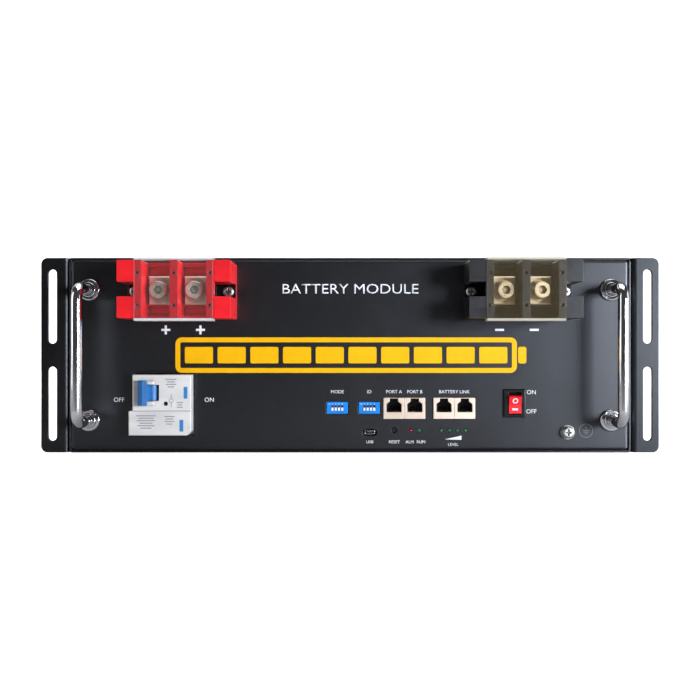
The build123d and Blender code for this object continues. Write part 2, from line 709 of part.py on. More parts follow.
def make_slider(x):
    """At rest it stands at the low end of its slot."""
    low = DIP_Z - (SLIDER_H + SLIDER_TRAVEL) / 2
    knob = slab(around(x, SLIDER_W / 2), (DIP_FACE - 0.6, DIP_FACE + 1.9), (low, low + SLIDER_H))
    return chamfer(knob.faces().sort_by(Axis.Y)[0].edges(), 0.15)


def make_jack_pair(x):
    shell = slab(
        around(x, JACK_PITCH), (JACK_FACE, JACK_FACE + JACK_DEPTH), around(JACK_Z, JACK_H / 2)
    )
    shell = fillet(shell.edges().filter_by(Axis.Y), 0.5)
    tools = [slab(around(x, 0.12), (JACK_FACE - 1, JACK_FACE + 0.5), around(JACK_Z, JACK_H))]
    depth = (JACK_FACE - 1.0, JACK_FACE + SOCKET_DEPTH)
    floor = JACK_Z - JACK_H / 2 + SOCKET_FLOOR
    right = [(w, h) for w, h in SOCKET_SHAPE]
    left = [(-w, h) for w, h in reversed(SOCKET_SHAPE)]
    outline = make_face(Polyline(*right, *left, close=True))
    for socket in around(x, JACK_PITCH / 2):
        mouth = Plane(origin=(socket, depth[0], floor), x_dir=(1, 0, 0), z_dir=(0, -1, 0))
        tools.append(extrude(mouth * outline, -(depth[1] - depth[0])))
    return cut(shell, tools)


def make_usb_port():
    shell = slab(around(USB_X, 3.9), (FRONT + 0.8, DAUGHTER_Y), around(USB_Z, 1.45))
    shell = fillet(shell.edges().filter_by(Axis.Y), 0.7)
    mouth = slab(around(USB_X, 3.5), (FRONT, FRONT + 6.5), around(USB_Z, 1.05))
    mouth = fillet(mouth.edges().filter_by(Axis.Y), 0.4)
    tongue = slab(around(USB_X, 1.9), (FRONT + 1.6, FRONT + 7.0), (USB_Z + 0.1, USB_Z + 0.6))
    return shell - mouth + tongue


def make_led(x):
    body = rod_y(x, (FRONT - 0.9, DAUGHTER_Y), LED_Z, LED_R)
    body = fillet(body.faces().sort_by(Axis.Y)[0].edges(), 1.2)
    return body + rod_y(x, (DAUGHTER_Y - 2.0, DAUGHTER_Y), LED_Z, LED_R + 0.4)


def make_reset_button():
    stem = rod_y(RESET_X, (RESET_FACE, DAUGHTER_Y - 2.4), LED_Z, RESET_R)
    return fillet(stem.faces().sort_by(Axis.Y)[0].edges(), 0.4)


def make_comm_board():
    """The port board, its upright daughter board and what is soldered to them."""
    main = slab((-24.0, 100.0), (FRONT + 2.6, FRONT + 66.0), (BOARD_TOP - BOARD_T, BOARD_TOP))
    upright = slab((5.0, 100.0), (DAUGHTER_Y, DAUGHTER_Y + BOARD_T), (9.0, BOARD_TOP - BOARD_T))
    tact = slab(around(RESET_X, 3.0), (DAUGHTER_Y - 3.4, DAUGHTER_Y), around(LED_Z, 3.0))
    tact = tact - rod_y(RESET_X, (DAUGHTER_Y - 5.0, DAUGHTER_Y - 1.7), LED_Z, RESET_R + 0.15)
    chips = [
        slab(around(x, w / 2), around(y, w / 2), (BOARD_TOP, BOARD_TOP + h))
        for x, y, w, h in (
            (0.0, FRONT + 36.0, 14.0, 1.6),
            (28.0, FRONT + 44.0, 8.0, 1.4),
            (62.0, FRONT + 42.0, 10.0, 1.6),
            (84.0, FRONT + 50.0, 6.0, 8.0),
        )
    ]
    header = slab((-20.0, 10.0), (FRONT + 55.0, FRONT + 64.0), (BOARD_TOP, BOARD_TOP + 7.0))
    return [fused([main, upright, tact, *chips, header])]


# ---------------------------------------------------------------- cells
def cell_y(index):
    """The middle of a cell, counted from the front."""
    return CELLS_FRONT + CELL_T / 2 + index * CELL_STEP


def make_cell(index):
    """A cell of the left row, its terminal face towards the middle of the case."""
    y = cell_y(index)
    can = slab((-CHANNEL - CELL_BODY, -CHANNEL), around(y, CELL_T / 2), (CELL_Z, CELL_Z + CELL_W))
    can = fillet(can.edges().filter_by(Axis.X), 2.5)
    for z in around(CELL_MID_Z, POST_OFFSET):
        can += slab((-CHANNEL - 1.0, -POST_FACE), around(y, 8.0), around(z, 8.0))
        can += rod_x((-POST_FACE - 1.0, -0.8), y, z, STUD_R)
    vent = rod_x((-CHANNEL - 0.6, -CHANNEL + 1.0), y, CELL_MID_Z, 8.0)
    return can - vent


def link_places():
    """(y of the busbar's middle, z) for the series links along one row."""
    links = []
    for i in range(CELLS_PER_ROW - 1):
        side = -POST_OFFSET if i % 2 == 0 else POST_OFFSET
        links.append((cell_y(i) + CELL_STEP / 2, CELL_MID_Z + side))
    return links


def stud_holes(bar):
    """Clearance holes where the cells' studs pass a bar of the left row."""
    for i in range(CELLS_PER_ROW):
        for z in around(CELL_MID_Z, POST_OFFSET):
            bar = bar - rod_x((-20.0, 0), cell_y(i), z, STUD_R + 0.2)
    return bar


def make_row_busbars():
    thickness = (-POST_FACE, -POST_FACE + BUSBAR_T)
    bars = [
        slab(thickness, around(y, CELL_STEP / 2 + 8.0), around(z, BUSBAR_H / 2))
        for y, z in link_places()
    ]
    return [stud_holes(bar) for bar in bars]


def make_main_tab():
    """The pack's positive tab, which runs forward from the first cell."""
    z = around(CELL_MID_Z + POST_OFFSET, BUSBAR_H / 2)
    tab = slab((-POST_FACE, -POST_FACE + BUSBAR_T), (-122.0, cell_y(0) + 10.0), z)
    return stud_holes(tab) - rod_x((-20.0, 0), -114.0, CELL_MID_Z + POST_OFFSET, 3.2)


def make_negative_bar():
    """The pack's negative bar, which runs forward and then across to the management board."""
    z = around(CELL_MID_Z + POST_OFFSET, BUSBAR_H / 2)
    along = mirrored(
        stud_holes(
            slab((-POST_FACE, -POST_FACE + BUSBAR_T), (BMS_FACE - 8.0, cell_y(0) + 10.0), z)
        )
    )
    across = slab((POST_FACE - BUSBAR_T, 56.0), (BMS_FACE - 8.0, BMS_FACE - 6.0), z)
    return along + across


def make_crossover():
    """Joins the last cells of the two rows."""
    z = around(CELL_MID_Z + POST_OFFSET, BUSBAR_H / 2)
    end = CELLS_BACK - 2.0
    side = stud_holes(slab((-POST_FACE, -POST_FACE + BUSBAR_T), (cell_y(7) - 10.0, end), z))
    across = slab(around(0, POST_FACE), (end - BUSBAR_T, end), z)
    return side + mirrored(side) + across


def make_row_nuts():
    nuts = []
    base = -POST_FACE + BUSBAR_T
    hexagon = extrude(RegularPolygon(5.0, 6, major_radius=False), 4.6)
    for i in range(CELLS_PER_ROW):
        for z in around(CELL_MID_Z, POST_OFFSET):
            nut = Pos(base, cell_y(i), z) * Rot(0, 90, 0) * hexagon
            nuts.append(nut - rod_x((-20.0, 0), cell_y(i), z, STUD_R + 0.05))
    return nuts


def make_row_insulation():
    row_x = (-CHANNEL - CELL_BODY, -CHANNEL)
    sheets = [
        slab(row_x, around(cell_y(i) + CELL_STEP / 2, 0.4), (CELL_Z, CELL_Z + CELL_W))
        for i in range(CELLS_PER_ROW - 1)
    ]
    length = (CELLS_FRONT, CELLS_BACK)
    sheets.append(slab(row_x, length, (SHEET + 0.1, CELL_Z - 0.1)))
    sheets.append(slab(row_x, length, (CELL_Z + CELL_W + 0.2, CELL_Z + CELL_W + 1.2)))
    outer_pad = (-INNER_X + 0.6, -CHANNEL - CELL_BODY - STRAP_T - 0.4)
    sheets.append(slab(outer_pad, length, (15.0, 122.0)))
    return sheets


def make_divider():
    return slab(around(0, 0.3), (CELLS_FRONT, CELLS_BACK - 6.0), (8.0, 134.0))


def make_row_end_plates():
    row_x = (-CHANNEL - CELL_BODY, -CHANNEL)
    z = (CELL_Z, CELL_Z + CELL_W)
    plates = []
    for y in ((MODULE_FRONT, CELLS_FRONT), (CELLS_BACK, MODULE_BACK)):
        plate = slab(row_x, y, z)
        outward = plate.faces().sort_by(Axis.Y)[0 if y[0] == MODULE_FRONT else -1]
        plates.append(chamfer(outward.edges(), 1.0))
    return plates


def make_row_straps():
    straps = []
    for offset in (-STRAP_OFFSET, STRAP_OFFSET):
        z = around(CELL_MID_Z + offset, STRAP_W / 2)
        inside_x = (-CHANNEL - CELL_BODY, -CHANNEL)
        inside_y = (MODULE_FRONT, MODULE_BACK)
        outside_x = (inside_x[0] - STRAP_T, inside_x[1] + STRAP_T)
        outside_y = (inside_y[0] - STRAP_T, inside_y[1] + STRAP_T)
        straps.append(slab(outside_x, outside_y, z) - slab(inside_x, inside_y, z))
    return straps


# ---------------------------------------------------------------- management board and wiring
def make_bms_board():
    board = slab(BMS_X, (BMS_FACE, BMS_FACE + BOARD_T), BMS_Z)
    parts = [board]
    for row_z in (44.0, 62.0):
        for i in range(12):
            x = BMS_X[0] + 20.0 + i * 12.5
            parts.append(slab(around(x, 5.0), (BMS_FACE - 4.5, BMS_FACE), around(row_z, 5.0)))
    for x in (48.0, 190.0):
        pad = slab(around(x, 8.0), (BMS_FACE - 6.0, BMS_FACE), around(BMS_STUD_Z, 8.0))
        parts.append(pad - rod_y(x, (BMS_FACE - 9.0, BMS_FACE - 0.5), BMS_STUD_Z, 3.2))
    parts.append(slab((92.0, 146.0), (BMS_FACE - 3.0, BMS_FACE), (100.0, 118.0)))
    for x in (72.0, 126.0):
        parts.append(slab(around(x, 14.0), (BMS_FACE - 8.0, BMS_FACE), (80.0, 87.0)))
    return parts


def make_heatsink():
    base = slab(BMS_X, (BMS_FACE + 2.6, BMS_FACE + 7.6), BMS_Z)
    fins = [
        slab(around(x, 1.0), (BMS_FACE + 7.6, BMS_FACE + 12.6), (45.0, 130.0))
        for x in range(32, 202, 10)
    ]
    pillars = [
        rod_y(x, (BMS_FACE + BOARD_T, BMS_FACE + 2.6), z, 4.0)
        for x in around(sum(BMS_X) / 2, 84.0)
        for z in around(sum(BMS_Z) / 2, 48.0)
    ]
    return fused([base, *fins, *pillars])


def make_brackets():
    """The board's two feet and the two bars that hold the cells down."""
    shapes = []
    back = BMS_FACE + 7.6
    for x in ((24.0, 44.0), (184.0, 204.0)):
        foot = slab(x, (back - 26.0, back + 1.5), (SHEET, SHEET + 1.5))
        shapes.append(foot + slab(x, (back, back + 1.5), (SHEET, 40.0)))
    for y in (-40.0, 145.0):
        bar = slab(around(0, INNER_X - 0.1), around(y, 11.0), (138.0, 140.0))
        ends = [
            slab(sorted((s * (INNER_X - 0.1), s * (INNER_X - 1.6))), around(y, 11.0), (126.0, 140.0))
            for s in (-1, 1)
        ]
        shapes.append(fused([bar, *ends]))
    return shapes


def make_harness():
    """Two sense-wire bundles in the channel between the rows, with a tap to every busbar."""
    bundle_x, bundle_r, tap_r = 4.4, 2.6, 0.8
    socket_y = BMS_FACE - 4.0
    left = [
        (-bundle_x, cell_y(7), CELL_MID_Z),
        (-bundle_x, -100.0, CELL_MID_Z),
        (-1.0, -138.0, CELL_MID_Z + 4.0),
        (24.0, -140.0, 81.0),
        (48.0, socket_y, 83.5),
        (58.0, socket_y, 83.5),
    ]
    right = [
        (bundle_x, cell_y(7), CELL_MID_Z),
        (bundle_x, -100.0, CELL_MID_Z),
        (8.0, -131.0, 69.0),
        (32.0, -137.0, 73.0),
        (66.0, -138.0, 76.0),
        (90.0, -133.0, 81.0),
        (102.0, socket_y, 83.5),
        (112.0, socket_y, 83.5),
    ]
    shapes = [tube(left, bundle_r, 5 * bundle_r), tube(right, bundle_r, 5 * bundle_r)]
    for sign in (-1, 1):
        for y, z in link_places():
            up = z > CELL_MID_Z
            near = CELL_MID_Z + (bundle_r - 0.6 if up else -bundle_r + 0.6)
            far = z + (-BUSBAR_H / 2 if up else BUSBAR_H / 2)
            tap_x = sign * (POST_FACE - BUSBAR_T + 0.9)
            shapes.append(rod_z(tap_x, y, sorted((near, far)), tap_r))
    return shapes


def lug(place):
    """A crimp lug: the palm lies on Z = 0 around the origin, and the barrel runs along +X."""
    palm = slab((-8.0, 9.0), (-7.5, 7.5), (0, 2.5))
    palm = fillet(palm.edges().filter_by(Axis.Z).sort_by(Axis.X)[:2], 6.0)
    barrel = rod_x((9.0, 26.0), 0, 2.5 + 3.4, 5.9)
    neck = slab((7.0, 10.0), (-5.5, 5.5), (0, 5.0))
    bore = rod_x((11.0, 40.0), 0, 2.5 + 3.4, CABLE_R)
    return place * (palm + neck + barrel - bore - rod_z(0, 0, (-5.0, 10.0), 3.2))


LUG_AXIS = 2.5 + 3.4        # from a lug's seat to its barrel's axis
LUG_START = 11.0            # where the cable begins inside the barrel
LINK_BACK = LINK_Y + 4.0
LINK_Z = BLOCK_Z - STEM_DROP + 2.0
POST_Z = CELL_MID_Z + POST_OFFSET
LUG_GRIPS = (2.4, 8.0, 5.0, 8.0)


def lug_places():
    """Pack positive tab, positive link bar, board's output stud, negative link bar."""
    tab_face = -POST_FACE + BUSBAR_T
    tab = Plane(origin=(tab_face, -114.0, POST_Z), x_dir=(0, -1, 0), z_dir=(1, 0, 0))
    positive = Plane(origin=(-BLOCK_X, LINK_BACK, LINK_Z), x_dir=(-1, 0, 0), z_dir=(0, 1, 0))
    stud = Plane(origin=(190.0, BMS_FACE - 6.0, BMS_STUD_Z), x_dir=(0, 0, -1), z_dir=(0, -1, 0))
    negative = Plane(origin=(BLOCK_X, LINK_BACK, LINK_Z), x_dir=(1, 0, 0), z_dir=(0, 1, 0))
    return [plane.location for plane in (tab, positive, stud, negative)]


def make_lug_bolt(place, grip):
    """A bolt with its washer on a lug's palm. Its shank reaches grip beyond the seat."""
    washer = rod_z(0, 0, (2.5, 3.6), 6.2) - rod_z(0, 0, (0, 10.0), 3.05)
    hexagon = extrude(RegularPolygon(5.0, 6, major_radius=False), 4.0)
    head = Pos(0, 0, 3.6) * hexagon + rod_z(0, 0, (-grip, 3.6), 3.0)
    return [place * washer, place * head]


def make_positive_cables():
    """Pack to breaker, and breaker to the positive terminals."""
    breaker_right = BREAKER_X + BREAKER_LENGTH / 2
    breaker_left = BREAKER_X - BREAKER_LENGTH / 2
    tab_x = -POST_FACE + BUSBAR_T + LUG_AXIS
    supply = [
        (tab_x, -114.0 - LUG_START, POST_Z),
        (tab_x, -156.0, POST_Z),
        (-18.0, -174.0, POST_Z - 12.0),
        (-48.0, -178.0, POST_Z - 38.0),
        (-72.0, -184.0, POST_Z - 62.0),
        (breaker_right + 6.0, -185.0, POLE_MID),
        (breaker_right - 10.0, -185.0, POLE_MID),
    ]
    output = [
        (breaker_left + 10.0, -185.0, POLE_MID),
        (breaker_left - 6.0, -185.0, POLE_MID),
        (breaker_left - 20.0, -184.0, POLE_MID + 16.0),
        (breaker_left - 22.5, -182.0, POLE_MID + 42.0),
        (breaker_left - 10.0, LINK_BACK + LUG_AXIS, LINK_Z - 6.0),
        (-BLOCK_X - 42.0, LINK_BACK + LUG_AXIS, LINK_Z),
        (-BLOCK_X - LUG_START, LINK_BACK + LUG_AXIS, LINK_Z),
    ]
    return [tube(supply, CABLE_R, 3 * CABLE_R), tube(output, CABLE_R, 3 * CABLE_R)]


def make_negative_cable():
    """Management board to the negative terminals."""
    stud_y = BMS_FACE - 6.0 - LUG_AXIS
    link_y = LINK_BACK + LUG_AXIS
    route = [
        (190.0, stud_y, BMS_STUD_Z - LUG_START),
        (190.0, stud_y, BMS_STUD_Z - 42.0),
        (193.0, stud_y - 14.0, BMS_STUD_Z - 60.0),
        (199.0, stud_y - 34.0, BMS_STUD_Z - 62.0),
        (204.0, link_y + 2.0, BMS_STUD_Z - 44.0),
        (201.0, link_y, BMS_STUD_Z - 14.0),
        (183.0, link_y, LINK_Z),
        (BLOCK_X + LUG_START, link_y, LINK_Z),
    ]
    return tube(route, CABLE_R, 2 * CABLE_R)


# ---------------------------------------------------------------- write every sub-part
save("chassis", make_chassis())
save("top_cover", make_lid())
save("front_panel", make_front_panel())
save("enclosure_screws", *make_case_screws())

ear = make_ear()
save("rack_ear_right", ear)
save("rack_ear_left", mirrored(ear))

handle = make_handle()
save("handle_left", Pos(-HANDLE_X, 0, 0) * handle)
save("handle_right", Pos(HANDLE_X, 0, 0) * handle)
ferrule = make_ferrule()
save("handle_ferrules", *[place * ferrule for place in handle_feet()])
handle_screw = make_handle_screw()
save("handle_screws", *[place * handle_screw for place in handle_feet()])
save("ground_screw", *make_ground_screw())

block = make_terminal_block()
cover = make_terminal_cover()
plate = make_pole_plate()
link_bar = make_link_bar()
bolt = make_pole_bolt()
block_screw = make_block_screw()
block_screws = []
for polarity, sign in (("positive", -1), ("negative", 1)):
    seat = Pos(sign * BLOCK_X, FRONT, BLOCK_Z)
    save(f"{polarity}_terminal_block", seat * block)
    save(f"{polarity}_terminal_cover", seat * cover)
    plates = [seat * Pos(x, 0, 0) * plate for x in poles()]
    save(f"{polarity}_terminal_plates", *plates, seat * link_bar)
    bolts = [seat * Pos(x, 0, 0) * piece for x in poles() for piece in bolt]
    save(f"{polarity}_terminal_bolts", *bolts)
    block_screws += [seat * Pos(x, 0, 0) * block_screw for x in around(0, BLOCK_SCREW_X)]
save("block_screws", *block_screws)

save("breaker_case", make_breaker_case())
save("breaker_trip_unit", make_trip_unit())
save("breaker_toggle", make_toggle())
save("breaker_test_button", make_test_button())
save("breaker_din_rail", *make_din_rail())

save("power_switch_case", make_switch_case())
save("power_switch_rocker", make_rocker())

for name, x in zip(("protocol", "id"), DIP_X):
    save(f"{name}_switch_body", make_dip_body(x))
    for i in range(DIP_POSITIONS):
        save(f"{name}_switch_slider_{i + 1}", make_slider(x + slider_x(i)))
for name, x in zip(("inverter", "battery"), JACK_X):
    save(f"{name}_port_jacks", make_jack_pair(x))
save("usb_port", make_usb_port())
save("reset_button", make_reset_button())
save("alarm_led", make_led(ALARM_LED_X))
save("green_leds", *[make_led(x) for x in (RUN_LED_X, *CHARGE_LED_X)])
save("comm_board", *make_comm_board())

cells = [make_cell(i) for i in range(CELLS_PER_ROW)]
save("cell_row_left", *cells)
save("cell_row_right", *[mirrored(cell) for cell in cells])
for name, shapes in (
    ("end_plates", make_row_end_plates()),
    ("compression_straps", make_row_straps()),
    ("busbar_nuts", make_row_nuts()),
):
    save(name, *shapes, *[mirrored(shape) for shape in shapes])
sheets = make_row_insulation()
save("cell_insulation", *sheets, *[mirrored(sheet) for sheet in sheets], make_divider())
bars = make_row_busbars()
bars += [mirrored(bar) for bar in bars]
save("series_busbars", *bars, make_main_tab(), make_negative_bar(), make_crossover())

save("bms_board", *make_bms_board())
save("bms_heatsink", make_heatsink())
save("internal_brackets", *make_brackets())
save("balance_harness", *make_harness())
save("positive_cables", *make_positive_cables())
save("negative_cable", make_negative_cable())
save("cable_lugs", *[lug(place) for place in lug_places()])
lug_bolts = [make_lug_bolt(place, grip) for place, grip in zip(lug_places(), LUG_GRIPS)]
save("lug_bolts", *[piece for bolt in lug_bolts for piece in bolt])
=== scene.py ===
"""Looks of a rack battery module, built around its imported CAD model.

Metres, in the model's own frame: +X along the front, +Y to the back, +Z up.
"""

import json
import math

import bmesh
import bpy
from mathutils import Matrix, Vector


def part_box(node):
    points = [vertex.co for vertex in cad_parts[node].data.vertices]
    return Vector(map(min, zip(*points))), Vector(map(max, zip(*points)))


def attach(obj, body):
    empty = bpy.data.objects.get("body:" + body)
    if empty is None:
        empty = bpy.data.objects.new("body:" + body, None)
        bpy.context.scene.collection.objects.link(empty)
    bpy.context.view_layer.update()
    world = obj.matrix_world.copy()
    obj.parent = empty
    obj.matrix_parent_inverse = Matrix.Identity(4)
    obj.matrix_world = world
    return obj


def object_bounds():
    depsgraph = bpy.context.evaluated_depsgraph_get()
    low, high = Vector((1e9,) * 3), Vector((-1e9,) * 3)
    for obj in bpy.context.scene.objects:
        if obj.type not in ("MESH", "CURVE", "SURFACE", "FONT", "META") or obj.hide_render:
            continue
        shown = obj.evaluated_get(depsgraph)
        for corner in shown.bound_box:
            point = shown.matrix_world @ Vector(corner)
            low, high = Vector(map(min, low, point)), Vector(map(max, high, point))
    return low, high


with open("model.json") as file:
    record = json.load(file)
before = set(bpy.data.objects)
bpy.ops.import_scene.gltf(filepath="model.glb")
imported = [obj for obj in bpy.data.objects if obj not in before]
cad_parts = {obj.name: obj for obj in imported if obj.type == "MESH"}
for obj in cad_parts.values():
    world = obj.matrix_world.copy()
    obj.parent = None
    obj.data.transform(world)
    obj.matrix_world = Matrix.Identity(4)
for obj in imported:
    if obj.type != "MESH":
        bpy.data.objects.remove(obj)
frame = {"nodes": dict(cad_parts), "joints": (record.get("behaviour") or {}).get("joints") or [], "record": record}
cad_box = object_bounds()

MM = 0.001
INK = 0.06 * MM             # thickness of a printed mark
PORT_OFFSET = 8.1           # mm from the middle of a pair of jacks to either jack's middle
BLACK = (0.005, 0.0048, 0.0052)         # the enamel of the case and the ears
PAPER_GLOW = 0.9            # how strongly the studio paper shines for the camera
COOL = (0.84, 0.9, 1.0)     # tints of the studio lights
WARM = (1.0, 0.97, 0.93)
nodes = frame["nodes"]


# ---------------------------------------------------------------- places, from the frame
def low(node):
    return Vector(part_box(node)[0])


def high(node):
    return Vector(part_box(node)[1])


def middle(node):
    return (low(node) + high(node)) / 2


FACE_Y = low("front_panel").y
PANEL_Z = middle("front_panel").z


# ---------------------------------------------------------------- shader building blocks
class Surface:
    """One procedural material: a Principled shader and the nodes that vary it over the object."""

    def __init__(self, name, base, metallic=0.0, roughness=0.4, **sockets):
        self.material = bpy.data.materials.new(name)
        self.material.use_nodes = True
        self.tree = self.material.node_tree
        self.shader = self.tree.nodes["Principled BSDF"]
        self.shader.inputs["Base Color"].default_value = (*base, 1)
        self.shader.inputs["Metallic"].default_value = metallic
        self.shader.inputs["Roughness"].default_value = roughness
        for socket, value in sockets.items():
            self.shader.inputs[socket.replace("_", " ")].default_value = value
        self.place = self.tree.nodes.new("ShaderNodeTexCoord").outputs["Object"]

    def node(self, kind, **values):
        made = self.tree.nodes.new(kind)
        for key, value in values.items():
            setattr(made, key, value)
        return made

    def link(self, source, target):
        self.tree.links.new(source, target)

    def stretched(self, scale):
        """Object coordinates scaled by a different amount along each axis."""
        mapping = self.node("ShaderNodeMapping")
        mapping.inputs["Scale"].default_value = scale
        self.link(self.place, mapping.inputs["Vector"])
        return mapping.outputs["Vector"]

    def noise(self, scale, detail=2.0, rough=0.5, place=None):
        made = self.node("ShaderNodeTexNoise")
        made.inputs["Scale"].default_value = scale
        made.inputs["Detail"].default_value = detail
        made.inputs["Roughness"].default_value = rough
        self.link(place or self.place, made.inputs["Vector"])
        return made.outputs["Fac"]

    def cells(self, scale, place=None):
        made = self.node("ShaderNodeTexVoronoi")
        made.inputs["Scale"].default_value = scale
        self.link(place or self.place, made.inputs["Vector"])
        return made.outputs["Distance"]

    def remap(self, value, from_low, from_high, to_low, to_high):
        made = self.node("ShaderNodeMapRange")
        made.inputs["From Min"].default_value = from_low
        made.inputs["From Max"].default_value = from_high
        made.inputs["To Min"].default_value = to_low
        made.inputs["To Max"].default_value = to_high
        self.link(value, made.inputs["Value"])
        return made.outputs["Result"]

    def math(self, operation, first, second):
        made = self.node("ShaderNodeMath", operation=operation)
        for value, socket in zip((first, second), made.inputs):
            if isinstance(value, (int, float)):
                socket.default_value = value
            else:
                self.link(value, socket)
        return made.outputs["Value"]

    def shelter(self, distance):
        """1 in the open, falling towards 0 in corners and between close parts."""
        made = self.node("ShaderNodeAmbientOcclusion", samples=4)
        made.inputs["Distance"].default_value = distance
        return made.outputs["AO"]

    def edges(self, radius, reach=0.25):
        """1 on convex and concave edges, falling to 0 on flat stretches."""
        bevel = self.node("ShaderNodeBevel", samples=6)
        bevel.inputs["Radius"].default_value = radius
        geometry = self.node("ShaderNodeNewGeometry")
        dot = self.node("ShaderNodeVectorMath", operation="DOT_PRODUCT")
        self.link(bevel.outputs["Normal"], dot.inputs[0])
        self.link(geometry.outputs["Normal"], dot.inputs[1])
        return self.remap(dot.outputs["Value"], 1.0, 1.0 - reach, 0.0, 1.0)

    def colour_mix(self, fac, first, second):
        """Both may be colours or sockets."""
        made = self.node("ShaderNodeMix", data_type="RGBA")
        self.link(fac, made.inputs["Factor"])
        for value, socket in zip((first, second), (made.inputs["A"], made.inputs["B"])):
            colour_in = next(
                s for s in made.inputs if s.name == socket.name and s.type == "RGBA"
            )
            if isinstance(value, tuple):
                colour_in.default_value = (*value, 1)
            else:
                self.link(value, colour_in)
        return next(s for s in made.outputs if s.type == "RGBA")

    def colour(self, value):
        self.link(value, self.shader.inputs["Base Color"])

    def rough(self, value):
        self.link(value, self.shader.inputs["Roughness"])

    def relief(self, height, depth, strength=1.0, radius=0.0):
        """Bump of a given depth in metres, over softened edges if radius is above 0."""
        bump = self.node("ShaderNodeBump")
        bump.inputs["Strength"].default_value = strength
        bump.inputs["Distance"].default_value = depth
        self.link(height, bump.inputs["Height"])
        if radius:
            bevel = self.node("ShaderNodeBevel", samples=6)
            bevel.inputs["Radius"].default_value = radius
            self.link(bevel.outputs["Normal"], bump.inputs["Normal"])
        self.link(bump.outputs["Normal"], self.shader.inputs["Normal"])


def shade(colour, factor):
    """A colour made darker or lighter."""
    return tuple(min(1.0, c * factor) for c in colour)


# ---------------------------------------------------------------- materials
def powder_coat(name, base, gloss=0.7):
    """Satin black powder coat: fine orange peel, faint handling marks, a painted highlight in patches along the
    edges.
    """
    s = Surface(name, base, Specular_IOR_Level=gloss, Specular_Tint=(0.9, 0.93, 1.0, 1))
    broad = s.noise(9.0, detail=4.0, rough=0.6)
    grain = s.noise(2600.0, detail=2.0)
    rub = s.noise(55.0, detail=6.0, rough=0.7)
    edge = s.edges(0.0009)
    # painted highlight: the edges, in patches, are mixed towards a paler grey
    edge_highlight_patches = s.math("MULTIPLY", edge, s.remap(s.noise(160.0, detail=4.0), 0.52, 0.7, 0.0, 0.75))
    tint = s.colour_mix(s.remap(broad, 0.35, 0.65, 0.0, 1.0), shade(base, 0.86), shade(base, 1.18))
    s.colour(s.colour_mix(edge_highlight_patches, tint, (0.05, 0.051, 0.055)))
    speckle = s.remap(grain, 0.3, 0.7, -0.06, 0.06)
    handled = s.remap(rub, 0.45, 0.75, 0.345, 0.395)
    s.rough(s.math("ADD", handled, speckle))
    peel = s.math("ADD", s.cells(900.0), s.noise(1500.0, detail=3.0))
    s.relief(peel, 0.00006, 0.5, radius=0.0006)
    return s.material


def moulded(name, base, roughness=0.36, grain=0.25, **sockets):
    """Injection-moulded plastic: spark-eroded grain, slight flow marks, a painted highlight along its edges and
    painted shade in its corners.
    """
    s = Surface(name, base, roughness=roughness, **sockets)
    flow = s.noise(30.0, detail=3.0, place=s.stretched((1.0, 1.0, 3.5)))
    tint = s.colour_mix(s.remap(flow, 0.35, 0.65, 0.0, 1.0), shade(base, 0.9), shade(base, 1.08))
    # painted highlight: every edge, convex and concave, is mixed towards a paler colour
    edge = s.edges(0.0005)
    pale = tuple(c + (1.0 - c) * 0.16 for c in base)
    edge_highlit = s.colour_mix(s.remap(edge, 0.0, 1.0, 0.0, 0.35), tint, pale)
    # painted shade: the colour falls to half the base where ambient occlusion finds corners and close parts
    s.colour(s.colour_mix(s.remap(s.shelter(0.003), 0.3, 0.9, 0.0, 1.0), shade(base, 0.5), edge_highlit))
    smear = s.noise(140.0, detail=5.0, rough=0.65)
    s.rough(s.remap(smear, 0.35, 0.7, roughness - 0.06, roughness + 0.09))
    s.relief(s.noise(3800.0, detail=2.0), 0.00003, grain, radius=0.00035)
    return s.material


def plated(name, base, roughness, blotch, scratch=0.12):
    """Electroplated or bare metal with cloudy patches and fine turning or handling scratches, a painted highlight
    along its edges and painted shade in its corners.
    """
    s = Surface(name, base, metallic=1.0, roughness=roughness)
    cloud = s.noise(120.0, detail=5.0, rough=0.6)
    mottled = s.colour_mix(s.remap(cloud, 0.35, 0.7, 0.0, 1.0), base, blotch)
    # painted highlight: every edge is mixed towards a brighter copy of the base
    edge = s.edges(0.0004)
    bright = s.colour_mix(s.remap(edge, 0.0, 1.0, 0.0, 0.5), mottled, shade(base, 1.25))
    # painted shade: corners and close parts found by ambient occlusion go nearly black
    corner_shade = s.remap(s.shelter(0.0035), 0.3, 0.85, 0.0, 1.0)
    s.colour(s.colour_mix(corner_shade, shade(blotch, 0.13), bright))
    fine = s.noise(900.0, detail=4.0, place=s.stretched((1.0, 0.12, 4.0)))
    s.rough(s.remap(fine, 0.3, 0.7, roughness - 0.07, roughness + 0.12))
    s.relief(fine, 0.00002, scratch, radius=0.0003)
    return s.material


def polished_chrome(name):
    """Mirror plate with a little haze, pale water stains and painted shade in its corners."""
    clean, stained = (0.7, 0.705, 0.72), (0.5, 0.5, 0.515)
    s = Surface(name, clean, metallic=1.0, roughness=0.08)
    haze = s.noise(70.0, detail=6.0, rough=0.7)
    s.rough(s.remap(haze, 0.45, 0.72, 0.05, 0.17))
    stain = s.remap(s.noise(260.0, detail=3.0), 0.55, 0.8, 0.0, 0.5)
    # painted shade: corners and close parts found by ambient occlusion are darkened
    open_air = s.remap(s.shelter(0.004), 0.3, 0.85, 0.0, 1.0)
    s.colour(s.colour_mix(open_air, shade(stained, 0.3), s.colour_mix(stain, clean, stained)))
    s.relief(s.noise(60.0, detail=2.0), 0.00002, 0.06)
    return s.material


